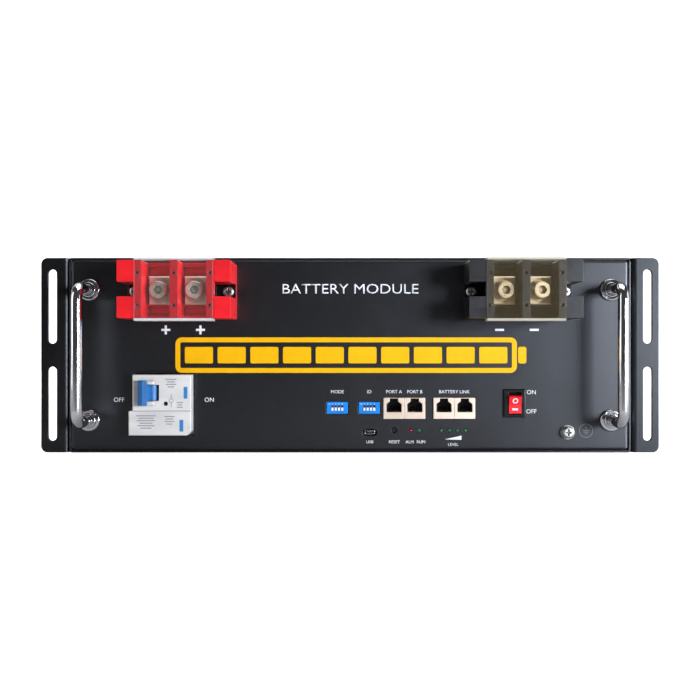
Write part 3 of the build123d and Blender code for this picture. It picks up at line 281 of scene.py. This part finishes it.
def clear_sheet(name, base, cover, edge_cover, edge_colour):
    """Thin moulded clear plastic. Flat faces show little. Its upper and lower walls, which are
    seen along their length, and its edges catch the light."""
    s = Surface(name, base, roughness=0.08, IOR=1.5)
    facing = s.node("ShaderNodeLayerWeight")
    facing.inputs["Blend"].default_value = 0.3
    grazing = s.remap(facing.outputs["Facing"], 0.75, 1.0, 0.0, 0.4)
    height = s.node("ShaderNodeSeparateXYZ")
    s.link(s.node("ShaderNodeTexCoord").outputs["Generated"], height.inputs["Vector"])
    from_middle = s.math("ABSOLUTE", s.math("SUBTRACT", height.outputs["Z"], 0.5), 0.0)
    walls = s.remap(from_middle, 0.455, 0.463, 0.0, 1.0)
    edges = s.remap(s.edges(0.0005, reach=0.2), 0.0, 1.0, 0.0, 0.5)
    rim = s.math("MAXIMUM", s.math("MAXIMUM", edges, grazing), walls)
    s.colour(s.colour_mix(rim, base, edge_colour))
    s.link(s.remap(rim, 0.0, 1.0, cover, edge_cover), s.shader.inputs["Alpha"])
    wipe = s.noise(60.0, detail=6.0, rough=0.7, place=s.stretched((1.0, 1.0, 6.0)))
    s.rough(s.remap(wipe, 0.4, 0.75, 0.05, 0.22))
    s.relief(s.noise(90.0, detail=2.0), 0.0002, 0.08)
    return s.material


def lens(name, base):
    """The coloured dome of a status light."""
    s = Surface(name, base, roughness=0.12, Transmission_Weight=0.35, IOR=1.5)
    swirl = s.noise(500.0, detail=2.0)
    s.colour(s.colour_mix(swirl, shade(base, 0.7), shade(base, 1.4)))
    s.rough(s.remap(swirl, 0.3, 0.7, 0.08, 0.2))
    s.relief(swirl, 0.00002, 0.1)
    return s.material


def circuit_board(name):
    """Green solder mask with the faint raised lines of its tracks."""
    s = Surface(name, (0.015, 0.11, 0.045), roughness=0.3, Coat_Weight=0.3)
    tracks = s.node("ShaderNodeTexBrick")
    tracks.inputs["Scale"].default_value = 240.0
    s.link(s.place, tracks.inputs["Vector"])
    s.colour(s.colour_mix(tracks.outputs["Fac"], (0.012, 0.1, 0.04), (0.03, 0.2, 0.085)))
    s.rough(s.remap(s.noise(300.0), 0.3, 0.7, 0.24, 0.4))
    s.relief(tracks.outputs["Fac"], 0.00004, 0.4)
    return s.material


def woven(name, base, pitch):
    """Sleeving or fibre sheet: a fine crossing weave."""
    s = Surface(name, base, roughness=0.7)
    waves = []
    for direction in ("X", "Z"):
        wave = s.node("ShaderNodeTexWave", bands_direction=direction)
        wave.inputs["Scale"].default_value = pitch
        wave.inputs["Distortion"].default_value = 0.4
        s.link(s.place, wave.inputs["Vector"])
        waves.append(wave.outputs["Fac"])
    weave = s.math("MULTIPLY", waves[0], waves[1])
    s.colour(s.colour_mix(weave, shade(base, 0.7), shade(base, 1.2)))
    s.rough(s.remap(s.noise(400.0), 0.3, 0.7, 0.62, 0.78))
    s.relief(weave, 0.0001, 0.5)
    return s.material


def rubber(name, base):
    """A dusty cable jacket."""
    s = Surface(name, base, roughness=0.55)
    dust = s.noise(180.0, detail=5.0)
    s.colour(s.colour_mix(s.remap(dust, 0.5, 0.8, 0.0, 0.5), base, shade(base, 1.6)))
    s.rough(s.remap(dust, 0.3, 0.7, 0.48, 0.66))
    s.relief(s.noise(1200.0, detail=3.0), 0.00004, 0.3)
    return s.material


def ink(name, base, cover=0.93, sheen=0.5):
    """Screen-printed ink: a slightly uneven film, duller where it is thick."""
    s = Surface(name, base, roughness=0.5, Specular_IOR_Level=sheen)
    film = s.noise(1400.0, detail=4.0, rough=0.7)
    thin = s.noise(120.0, detail=3.0)
    s.colour(s.colour_mix(s.remap(thin, 0.35, 0.7, 0.0, 1.0), base, shade(base, cover)))
    s.rough(s.remap(film, 0.3, 0.7, 0.42, 0.6))
    s.relief(film, 0.00002, 0.25)
    return s.material


def floor_paper(name):
    """White studio paper that glows a little for the camera. What the object mirrors of it is
    darker, as with black cards set round a product."""
    pale, dull = (0.875, 0.875, 0.88), (0.85, 0.85, 0.855)
    s = Surface(name, pale, roughness=0.7, Specular_IOR_Level=0.2)
    fibre = s.noise(35.0, detail=8.0, rough=0.7)
    paper = s.colour_mix(s.remap(fibre, 0.3, 0.7, 0.0, 1.0), dull, pale)
    patches = s.remap(s.noise(1.3, detail=1.0), 0.35, 0.65, 0.0, 1.0)
    mirrored = s.colour_mix(patches, (0.24, 0.24, 0.245), (0.66, 0.66, 0.67))
    seen = s.node("ShaderNodeLightPath").outputs["Is Camera Ray"]
    s.colour(s.colour_mix(seen, mirrored, paper))
    s.relief(fibre, 0.0002, 0.05)
    s.shader.inputs["Emission Color"].default_value = (1, 1, 1, 1)
    s.link(s.math("MULTIPLY", seen, PAPER_GLOW), s.shader.inputs["Emission Strength"])
    return s.material


FINISHES = {
    "black_enamel": powder_coat("black_powder_coat", BLACK),
    "black_screws": plated("black_oxide", (0.05, 0.05, 0.052), 0.36, (0.02, 0.02, 0.022)),
    "chrome": polished_chrome("polished_chrome"),
    "zinc_steel": plated("zinc_plate", (0.66, 0.66, 0.64), 0.3, (0.5, 0.5, 0.47)),
    "red_plastic": moulded(
        "red_moulding", (0.84, 0.014, 0.021), roughness=0.4, Specular_IOR_Level=0.3
    ),
    "black_plastic": moulded("black_moulding", (0.0055, 0.0055, 0.006), roughness=0.4),
    "nickel_plate": plated("nickel_plate", (0.92, 0.88, 0.74), 0.46, (0.62, 0.58, 0.46)),
    "brass_plate": plated("yellow_passivate", (1.0, 0.8, 0.5), 0.33, (0.8, 0.6, 0.34)),
    "clear_plastic": clear_sheet("clear_sheet", (0.8, 0.84, 0.84), 0.014, 0.6, (0.9, 0.91, 0.9)),
    "smoke_plastic": clear_sheet(
        "smoked_sheet", (0.25, 0.19, 0.1), 0.085, 0.62, (0.66, 0.61, 0.49)
    ),
    "white_plastic": moulded("white_moulding", (0.715, 0.69, 0.66), roughness=0.42, grain=0.15),
    "blue_plastic": moulded("blue_moulding", (0.01, 0.14, 0.4), roughness=0.4),
    "dip_blue": moulded("bright_blue_moulding", (0.003, 0.23, 0.74), roughness=0.34, grain=0.1),
    "dip_white": moulded("slider_moulding", (0.82, 0.83, 0.82), roughness=0.4, grain=0.1),
    "jack_shell": plated("tinned_shell", (0.88, 0.72, 0.58), 0.46, (0.8, 0.66, 0.53)),
    "red_lens": lens("red_lens", (0.3, 0.006, 0.03)),
    "green_lens": lens("green_lens", (0.03, 0.17, 0.06)),
    "circuit_board": circuit_board("solder_mask"),
    "aluminium": plated("mill_aluminium", (0.78, 0.79, 0.8), 0.38, (0.66, 0.67, 0.69)),
    "cell_sleeve": moulded("cell_sleeve", (0.015, 0.07, 0.3), roughness=0.22, grain=0.05),
    "strap_steel": plated("strap_steel", (0.56, 0.56, 0.57), 0.3, (0.44, 0.44, 0.45)),
    "insulation": woven("fibre_sheet", (0.6, 0.57, 0.36), 500.0),
    "copper": plated("bare_copper", (0.78, 0.4, 0.25), 0.3, (0.5, 0.25, 0.16)),
    "wire_sleeve": woven("braided_sleeve", (0.03, 0.03, 0.032), 900.0),
    "red_cable": rubber("red_jacket", (0.5, 0.015, 0.015)),
    "black_cable": rubber("black_jacket", (0.018, 0.018, 0.018)),
    "tinned_copper": plated("tin_plate", (0.72, 0.71, 0.68), 0.35, (0.58, 0.57, 0.54)),
}
WHITE_INK = ink("white_ink", (0.84, 0.85, 0.88))
YELLOW_INK = ink("yellow_ink", (0.93, 0.48, 0.0), sheen=0.2)
GREY_INK = ink("grey_ink", (0.3, 0.3, 0.31))
BLUE_INK = ink("blue_ink", (0.03, 0.22, 0.55))
FAINT_INK = ink("faint_ink", (0.2, 0.2, 0.21))
GOLD = plated("contact_gold", (0.9, 0.64, 0.28), 0.22, (0.8, 0.56, 0.24))
SOCKET_BLACK = moulded("socket_black", (0.008, 0.008, 0.009), roughness=0.5)
OWN_FINISHES = {
    "power_switch_case": moulded("bezel_black", (0.0025, 0.0025, 0.003), roughness=0.2),
}
for ear in ("rack_ear_left", "rack_ear_right"):
    OWN_FINISHES[ear] = powder_coat(f"{ear}_coat", BLACK, gloss=0.42)


def dress_cad_nodes():
    """Every CAD node takes its own finish, or that of its slot in the record."""
    for row in frame["record"]["subparts"]:
        piece = nodes[row["node"]]
        piece.data.materials.clear()
        finish = OWN_FINISHES.get(row["node"], FINISHES[row["material_slot"]])
        piece.data.materials.append(finish)


# ---------------------------------------------------------------- printed marks and small pieces
def finished(name, mesh, material, body):
    """A mesh becomes a piece of the object that rides on a body."""
    piece = bpy.data.objects.new(name, mesh)
    bpy.context.scene.collection.objects.link(piece)
    mesh.materials.append(material)
    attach(piece, body)
    return piece


def built(name, mesh, material, body="case"):
    """A bmesh becomes a piece of the object, and is freed."""
    data = bpy.data.meshes.new(name)
    mesh.to_mesh(data)
    mesh.free()
    return finished(name, data, material, body)


class Print:
    """Flat marks on a plane that faces -Y, gathered into one mesh. Sizes in millimetres."""

    def __init__(self, y):
        self.shapes = bmesh.new()
        self.y = y

    def outline(self, points, holes=()):
        """A filled outline with holes, in (x, z) metres, given a film's thickness."""
        flat = bmesh.new()
        for ring in (points, *holes):
            verts = [flat.verts.new((x, self.y, z)) for x, z in ring]
            for first, second in zip(verts, verts[1:] + verts[:1]):
                flat.edges.new((first, second))
        made = bmesh.ops.triangle_fill(flat, use_beauty=True, edges=flat.edges[:])
        faces = [g for g in made["geom"] if isinstance(g, bmesh.types.BMFace)]
        self.thicken(flat, faces)

    def thicken(self, flat, faces):
        """Faces get the ink's thickness and join the other marks. Frees the bmesh."""
        grown = bmesh.ops.extrude_face_region(flat, geom=faces)
        raised = [g for g in grown["geom"] if isinstance(g, bmesh.types.BMVert)]
        bmesh.ops.translate(flat, vec=(0, -INK, 0), verts=raised)
        bmesh.ops.recalc_face_normals(flat, faces=flat.faces[:])
        part = bpy.data.meshes.new("part")
        flat.to_mesh(part)
        flat.free()
        self.shapes.from_mesh(part)
        bpy.data.meshes.remove(part)

    def bar(self, x, z, width, height, corner=0.0):
        self.outline(rounded(x, z, width * MM, height * MM, corner * MM))

    def ring(self, x, z, outer, line):
        self.outline(circle(x, z, outer * MM), [circle(x, z, (outer - line) * MM)])

    def frame(self, x, z, width, height, line, corner):
        outer = rounded(x, z, width * MM, height * MM, corner * MM)
        inner_width, inner_height = (width - 2 * line) * MM, (height - 2 * line) * MM
        self.outline(outer, [rounded(x, z, inner_width, inner_height, (corner - line) * MM)])

    def text(self, words, x, z, height, width=None, align="CENTER", weight=0.0):
        """Capitals of a given height, stretched to a width if one is given."""
        curve = bpy.data.curves.new("words", "FONT")
        curve.body = words
        curve.align_x = align
        curve.align_y = "CENTER"
        curve.offset = weight * MM
        curve.resolution_u = 3
        holder = bpy.data.objects.new("words", curve)
        bpy.context.scene.collection.objects.link(holder)
        bpy.context.view_layer.update()
        mesh = bpy.data.meshes.new_from_object(holder)
        size = holder.dimensions.copy()
        bpy.data.objects.remove(holder)
        bpy.data.curves.remove(curve)
        up = height * MM / size.y
        along = width * MM / size.x if width else up
        mesh.transform(Matrix.Diagonal((along, up, 1, 1)))
        mesh.transform(Matrix.Rotation(math.pi / 2, 4, "X"))
        flat = bmesh.new()
        flat.from_mesh(mesh)
        bpy.data.meshes.remove(mesh)
        bmesh.ops.remove_doubles(flat, verts=flat.verts[:], dist=0.001 * MM)
        zs = [v.co.z for v in flat.verts]
        shift = Vector((x, self.y, z - (max(zs) + min(zs)) / 2))
        bmesh.ops.translate(flat, vec=shift, verts=flat.verts[:])
        self.thicken(flat, flat.faces[:])

    def piece(self, name, material, body="case", slot="black_enamel"):
        return built(name, self.shapes, material, body)


def circle(x, z, radius, steps=40):
    turns = [2 * math.pi * i / steps for i in range(steps)]
    return [(x + radius * math.cos(t), z + radius * math.sin(t)) for t in turns]


def rounded(x, z, width, height, corner, steps=6):
    """Points round a rectangle with rounded corners."""
    if corner <= 0:
        w, h = width / 2, height / 2
        return [(x - w, z - h), (x + w, z - h), (x + w, z + h), (x - w, z + h)]
    points = []
    for quarter, (sx, sz) in enumerate(((1, -1), (1, 1), (-1, 1), (-1, -1))):
        cx = x + sx * (width / 2 - corner)
        cz = z + sz * (height / 2 - corner)
        for i in range(steps + 1):
            turn = math.pi / 2 * (quarter - 1 + i / steps)
            points.append((cx + corner * math.cos(turn), cz + corner * math.sin(turn)))
    return points


def panel_print():
    """The white title and labels of the panel, with the earth sign and the yellow band."""
    white = Print(FACE_Y)
    white.text("BATTERY MODULE", 0.0, PANEL_Z + 51.7 * MM, 7.6, width=106.0, weight=0.012)
    polarity_marks(white)
    breaker = middle("breaker_case")
    label_z = breaker.z - 5.8 * MM
    white.text("OFF", breaker.x - 35.3 * MM, label_z, 3.4)
    white.text("ON", breaker.x + 35.0 * MM, label_z, 3.4)
    switch = middle("power_switch_case")
    white.text("ON", switch.x + 13.2 * MM, switch.z + 8.6 * MM, 3.3)
    white.text("OFF", switch.x + 13.2 * MM, switch.z - 6.4 * MM, 3.3)
    label_z = high("inverter_port_jacks").z + 4.7 * MM
    for node, words, shift in (
        ("protocol_switch_body", "MODE", 0.0),
        ("id_switch_body", "ID", 0.0),
        ("inverter_port_jacks", "PORT A", -PORT_OFFSET),
        ("inverter_port_jacks", "PORT B", PORT_OFFSET),
        ("battery_port_jacks", "BATTERY LINK", 0.0),
    ):
        white.text(words, middle(node).x + shift * MM, label_z, 2.5)
    label_z = low("reset_button").z - 7.2 * MM
    alarm = middle("alarm_led")
    for words, x in (
        ("USB", middle("usb_port").x),
        ("RESET", middle("reset_button").x),
        ("ALM", alarm.x - 0.8 * MM),
        ("RUN", low("green_leds").x + 3.5 * MM),
    ):
        white.text(words, x, label_z, 2.3)
    charge_x = high("green_leds").x - 11.3 * MM
    wedge_low = alarm.z - 8.0 * MM
    wedge = [(-6.5, 1.0), (6.5, 0.6), (6.5, 3.9)]
    white.outline([(charge_x + dx * MM, wedge_low + dz * MM) for dx, dz in wedge])
    white.text("LEVEL", charge_x, wedge_low - 3.0 * MM, 2.2)
    white.piece("panel_print_white", WHITE_INK)
    earth_mark()
    charge_gauge()


def polarity_marks(white):
    """A plus or a minus under each of the blocks' terminals."""
    half_pitch, line, length = 13.5 * MM, 1.7, 7.0
    upright = (length - line) / 2
    for polarity in ("positive", "negative"):
        block = f"{polarity}_terminal_block"
        z = low(block).z - 7.8 * MM
        for x in (middle(block).x - half_pitch, middle(block).x + half_pitch):
            white.bar(x, z, length, line)
            if polarity == "positive":
                for side in (1, -1):
                    white.bar(x, z + side * (line + upright) / 2 * MM, line, upright)


def earth_mark():
    """Earth sign in a ring beside the earth screw."""
    screw = middle("ground_screw")
    x, z = screw.x + 14.6 * MM, screw.z + 1.2 * MM
    mark = Print(FACE_Y)
    mark.ring(x, z, 5.4, 0.4)
    mark.bar(x, z + 1.9 * MM, 0.42, 2.9)
    for width, drop in ((5.4, 0.15), (3.5, -1.2), (1.7, -2.5)):
        mark.bar(x, z + drop * MM, width, 0.42)
    mark.piece("earth_mark", FAINT_INK)


def charge_gauge():
    """A plain battery pictogram in the panel's wide yellow band: a frame, ten cells and a cap."""
    gauge = Print(FACE_Y)
    centre, width, height, line = -3.0, 266.0, 27.6, 3.8
    cap_width, cap_height, cap_gap = 6.4, 13.0, 1.0
    gauge.frame(centre * MM, PANEL_Z, width, height, line, 5.0)
    cap_x = centre + width / 2 + cap_gap + cap_width / 2
    gauge.bar(cap_x * MM, PANEL_Z, cap_width, cap_height, 1.6)
    count, gap = 10, 3.6
    room = width - 2 * line - 2 * gap
    cell = (room - (count - 1) * gap) / count
    for i in range(count):
        x = centre - room / 2 + cell / 2 + i * (cell + gap)
        gauge.bar(x * MM, PANEL_Z, cell, height - 2 * line - 2 * gap, 1.2)
    gauge.piece("charge_gauge_print", YELLOW_INK)


def breaker_print():
    """Generic ratings blocks and a wiring sketch on the breaker's two faces."""
    face = low("breaker_trip_unit").y
    pole_low, pole_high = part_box("breaker_case")
    trip_low, trip_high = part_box("breaker_trip_unit")
    centre = middle("breaker_case").x
    grey = Print(face)
    # each block of lines: x from the centre, z of its top line, pitch, and the lines' widths
    blocks = (
        (7.2, pole_high[2] - 3.6 * MM, 1.9, (8.5, 6.0, 8.0, 5.0)),
        (14.0, pole_low[2] + 6.6 * MM, 1.8, (5.0, 3.6, 4.4)),
        (-12.0, trip_high[2] - 3.6 * MM, 1.9, (15.0, 11.5, 14.0, 10.0, 13.0, 8.5)),
        (6.0, trip_high[2] - 4.2 * MM, 1.9, (8.0, 6.0, 7.5, 4.5)),
    )
    for x, top, pitch, widths in blocks:
        for i, width in enumerate(widths):
            grey.bar(centre + x * MM, top - i * pitch * MM, width, 0.75)
    sketch_x, sketch_z = centre + 7.4 * MM, pole_low[2] + 8.0 * MM
    for side in (1, -1):
        grey.bar(sketch_x, sketch_z + side * 3.4 * MM, 0.5, 3.4)
    grey.ring(sketch_x, sketch_z, 1.7, 0.45)
    grey.piece("breaker_print_grey", GREY_INK, slot="white_plastic")
    blue = Print(face)
    for x, z in ((18.4, pole_high[2] - 13.8 * MM), (15.2, trip_low[2] + 7.6 * MM)):
        blue.bar(centre + x * MM, z, 2.9, 9.0, 0.4)
    blue.piece("breaker_print_blue", BLUE_INK, slot="white_plastic")


def switch_print():
    """Digits and a short dash over each selector's sliders."""
    for name in ("protocol", "id"):
        body = f"{name}_switch_body"
        digits = Print(low(body).y)
        top = high(body).z - 1.7 * MM
        for i in (1, 2, 3, 4):
            x = middle(f"{name}_switch_slider_{i}").x
            digits.text(str(i), x, top, 1.5)
        digits.bar(low(body).x + 2.2 * MM, top, 1.6, 0.35)
        digits.piece(f"{name}_switch_digits", WHITE_INK, slot="dip_white")


def rocker_marks():
    """The ring and bar moulded in the rocker's two faces, which slope away from a middle ridge."""
    tilt = math.radians(11.0)
    half_height, ridge, rise = 6.8 * MM, 6.2 * MM, 1.4 * MM     # rise: the ends over the ridge
    lean = math.atan2(rise, half_height)
    proud = 0.02 * MM
    depth = ridge + rise / 2 + proud
    joint = next(j for j in frame["joints"] if j["child"] == "power_switch_rocker")
    pivot = Vector(joint["pos_m"])
    for name, side in (("ring", 1), ("bar", -1)):
        marks = Print(0.0)
        if name == "ring":
            marks.ring(0.0, 0.0, 2.2, 0.8)
        else:
            marks.bar(0.0, 0.0, 4.4, 1.5)
        piece = marks.piece(f"rocker_{name}", WHITE_INK, "power_switch_rocker", "red_plastic")
        face = Matrix.Translation((0, -depth, side * half_height / 2))
        turn = Matrix.Rotation(tilt, 4, "X")
        slope = Matrix.Rotation(side * lean, 4, "X")
        piece.data.transform(Matrix.Translation(pivot) @ turn @ face @ slope)


def socket_profile(x, base, inset):
    """The stepped outline of a modular socket, (x, z), each side moved in by the inset in mm."""
    steps = ((5.9, 0.0), (5.9, 6.4), (3.3, 8.4), (3.3, 10.7))
    right = []
    for half_width, height in steps:
        inward = inset if height == 0 else -inset
        right.append((x + (half_width - inset) * MM, base + (height + inward) * MM))
    left = [(2 * x - px, pz) for px, pz in reversed(right)]
    return right + left


def sockets():
    """Black liners with eight sprung gold contacts in each network socket."""
    for name in ("inverter", "battery"):
        node = f"{name}_port_jacks"
        shell = low(node)
        socket_floor, recess, depth = 5.2 * MM, 0.5 * MM, 13.4 * MM
        base, front, back = shell.z + socket_floor, shell.y + recess, shell.y + depth
        for side, label in ((-1, "a"), (1, "b")):
            x = middle(node).x + side * PORT_OFFSET * MM
            liner(f"{name}_socket_liner_{label}", x, base, front, back)
            contacts(f"{name}_socket_contacts_{label}", x, base, front)


def liner(name, x, base, front, back):
    """A thin-walled stepped tube, closed at its back."""
    outer = socket_profile(x, base, 0.03)
    inner = socket_profile(x, base, 0.4)
    end_wall = 0.5 * MM
    mesh = bmesh.new()
    rings = []
    for profile, y in ((outer, back), (outer, front), (inner, front), (inner, back - end_wall)):
        rings.append([mesh.verts.new((px, y, pz)) for px, pz in profile])
    join_rings(mesh, rings)
    bmesh.ops.recalc_face_normals(mesh, faces=mesh.faces[:])
    built(name, mesh, SOCKET_BLACK)


def join_rings(mesh, rings):
    """Walls between rings of as many points each, and a face over the first and the last."""
    count = len(rings[0])
    for ring, following in zip(rings, rings[1:]):
        for i in range(count):
            j = (i + 1) % count
            mesh.faces.new((ring[i], ring[j], following[j], following[i]))
    mesh.faces.new(rings[0])
    mesh.faces.new(rings[-1])


def wire(mesh, points, radius, sides=8):
    """A round wire along points, closed at both ends, added to a bmesh."""
    rings = []
    for i, point in enumerate(points):
        before = points[max(i - 1, 0)]
        after = points[min(i + 1, len(points) - 1)]
        run = (Vector(after) - Vector(before)).normalized()
        across = run.cross(Vector((1, 0, 0))).normalized()
        other = run.cross(across)
        ring = []
        for k in range(sides):
            turn = 2 * math.pi * k / sides
            offset = (across * math.cos(turn) + other * math.sin(turn)) * radius
            ring.append(mesh.verts.new(Vector(point) + offset))
        rings.append(ring)
    join_rings(mesh, rings)


def contacts(name, x, base, front):
    """Eight wires side by side that rise towards the back of the socket and bend down again."""
    count, pitch, radius, steps = 8, 1.02 * MM, 0.2 * MM, 8
    start, length, foot, rise, bend = 2.0, 8.5, 0.85, 2.3, 0.62
    mesh = bmesh.new()
    for i in range(count):
        wire_x = x + (i - (count - 1) / 2) * pitch
        points = []
        for step in range(steps + 1):
            t = step / steps
            y = front + (start + length * t) * MM
            z = base + (foot + rise * math.sin(t * math.pi * bend)) * MM
            points.append((wire_x, y, z))
        wire(mesh, points, radius)
    bmesh.ops.recalc_face_normals(mesh, faces=mesh.faces[:])
    built(name, mesh, GOLD)


def notch_plates():
    """Black plates under the mounting screws, bent up the inner end of each notch: painted shade, a dark sheet
    laid where the notch floor and end lie in shadow.
    """
    length, half_height, skin = 15.6 * MM, 5.4 * MM, 0.3 * MM
    notch_floor, rim_depth, setback = 4.05 * MM, 6.2 * MM, 0.4 * MM
    floor = FACE_Y - notch_floor
    for polarity in ("positive", "negative"):
        node = f"{polarity}_terminal_block"
        block_low, block_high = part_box(node)
        rim = block_low[1] + rim_depth
        z = middle(node).z
        heights = (z - half_height, z + half_height)
        mesh = bmesh.new()
        for edge, inward in ((block_low[0], 1), (block_high[0], -1)):
            mouth, end = edge + inward * setback, edge + inward * length
            # painted shade: a floor plate and an end plate darken each notch
            slab(mesh, (mouth, end), (floor - skin, floor), heights)
            slab(mesh, (end - inward * skin, end), (rim, floor), heights)
        built(f"{polarity}_notch_plates", mesh, FINISHES["black_screws"])


def slab(mesh, *spans):
    """A box between two values along X, Y and Z, added to a bmesh."""
    size = [abs(b - a) for a, b in spans]
    centre = Vector([(a + b) / 2 for a, b in spans])
    place = Matrix.Translation(centre) @ Matrix.Diagonal((*size, 1))
    bmesh.ops.create_cube(mesh, size=1.0, matrix=place)


# ---------------------------------------------------------------- studio
def plane_mesh(name, profile, half_width):
    """A sheet swept along X over a profile of (y, z) points."""
    mesh = bmesh.new()
    rows = []
    for y, z in profile:
        rows.append([mesh.verts.new((x, y, z)) for x in (-half_width, half_width)])
    for first, second in zip(rows, rows[1:]):
        mesh.faces.new((first[0], first[1], second[1], second[0]))
    bmesh.ops.recalc_face_normals(mesh, faces=mesh.faces[:])
    data = bpy.data.meshes.new(name)
    mesh.to_mesh(data)
    mesh.free()
    for face in data.polygons:
        face.use_smooth = True
    return data


def make_floor():
    """A pale sweep: flat under and around the object, curving up far behind it."""
    floor_z = cad_box[0][2] - 0.02 * MM
    near, start, radius, top, half_width, steps = -6.0, 2.2, 1.2, 5.0, 7.0, 16
    profile = [(near, floor_z), (start, floor_z)]
    for i in range(1, steps + 1):
        turn = math.pi / 2 * i / steps
        profile.append((start + radius * math.sin(turn), floor_z + radius * (1 - math.cos(turn))))
    profile.append((start + radius, floor_z + top))
    sweep = bpy.data.objects.new("studio_sweep", plane_mesh("studio_sweep", profile, half_width))
    bpy.context.scene.collection.objects.link(sweep)
    sweep.data.materials.append(floor_paper("studio_paper"))


def area_light(name, place, aim, size, power, colour=(1, 1, 1)):
    """A rectangle of light at a place, turned to face its aim. Metres and watts."""
    light = bpy.data.lights.new(name, "AREA")
    light.shape = "RECTANGLE"
    light.size, light.size_y = size
    light.energy = power
    light.color = colour
    holder = bpy.data.objects.new(name, light)
    holder.location = place
    holder.rotation_euler = (Vector(aim) - Vector(place)).to_track_quat("-Z", "Y").to_euler()
    bpy.context.scene.collection.objects.link(holder)


def make_lights():
    """Large and soft, brightest low on the right. The cards shine into the chrome handles."""
    centre = (0, -0.05, 0.08)
    area_light("top_softbox", (0.1, 0.1, 2.2), centre, (2.2, 1.5), 30.0)
    area_light("right_softbox", (1.1, -1.35, 0.15), (0.15, -0.2, 0.07), (0.6, 0.42), 42.0, COOL)
    area_light("left_strip", (-1.9, -1.0, 0.8), centre, (0.3, 1.6), 3.5, WARM)
    area_light("left_card", (-1.5, -0.35, 0.25), (-0.2, -0.23, 0.08), (1.0, 1.2), 5.0)
    area_light("right_card", (1.5, -0.2, 0.25), (0.2, -0.23, 0.08), (1.0, 1.2), 5.0)
    area_light("rear_fill", (-0.9, 2.0, 1.1), centre, (2.4, 1.4), 26.0)
    area_light("back_wash", (0, 1.0, 2.4), (0, 3.4, 0.9), (4.0, 1.0), 110.0)
    make_surroundings()


def make_surroundings():
    """White where the camera looks past the paper, and dim for everything else."""
    world = bpy.data.worlds.new("studio_world")
    bpy.context.scene.world = world
    world.use_nodes = True
    tree = world.node_tree
    background = tree.nodes["Background"]
    background.inputs["Color"].default_value = (0.96, 0.97, 1.0, 1)
    seen = tree.nodes.new("ShaderNodeLightPath").outputs["Is Camera Ray"]
    brightness = tree.nodes.new("ShaderNodeMapRange")
    brightness.inputs["To Min"].default_value = 0.06
    brightness.inputs["To Max"].default_value = 1.05
    tree.links.new(seen, brightness.inputs["Value"])
    tree.links.new(brightness.outputs["Result"], background.inputs["Strength"])


def make_camera():
    """Square to the panel and level with its middle, as near to it as the perspective asks."""
    distance, lift = 0.7, 4.0 * MM
    fill = 0.885            # how much of the picture's width the object takes
    width = cad_box[1][0] - cad_box[0][0]
    data = bpy.data.cameras.new("camera")
    data.sensor_width = 36.0
    data.lens = data.sensor_width * distance * fill / width
    data.clip_start = 0.01
    data.clip_end = 60.0
    holder = bpy.data.objects.new("camera", data)
    holder.location = (0, FACE_Y - distance, PANEL_Z + lift)
    holder.rotation_euler = (math.pi / 2, 0, 0)
    bpy.context.scene.collection.objects.link(holder)
    bpy.context.scene.camera = holder
    bpy.context.scene.view_settings.view_transform = "Standard"


dress_cad_nodes()
panel_print()
breaker_print()
switch_print()
rocker_marks()
sockets()
notch_plates()
make_floor()
make_lights()
make_camera()
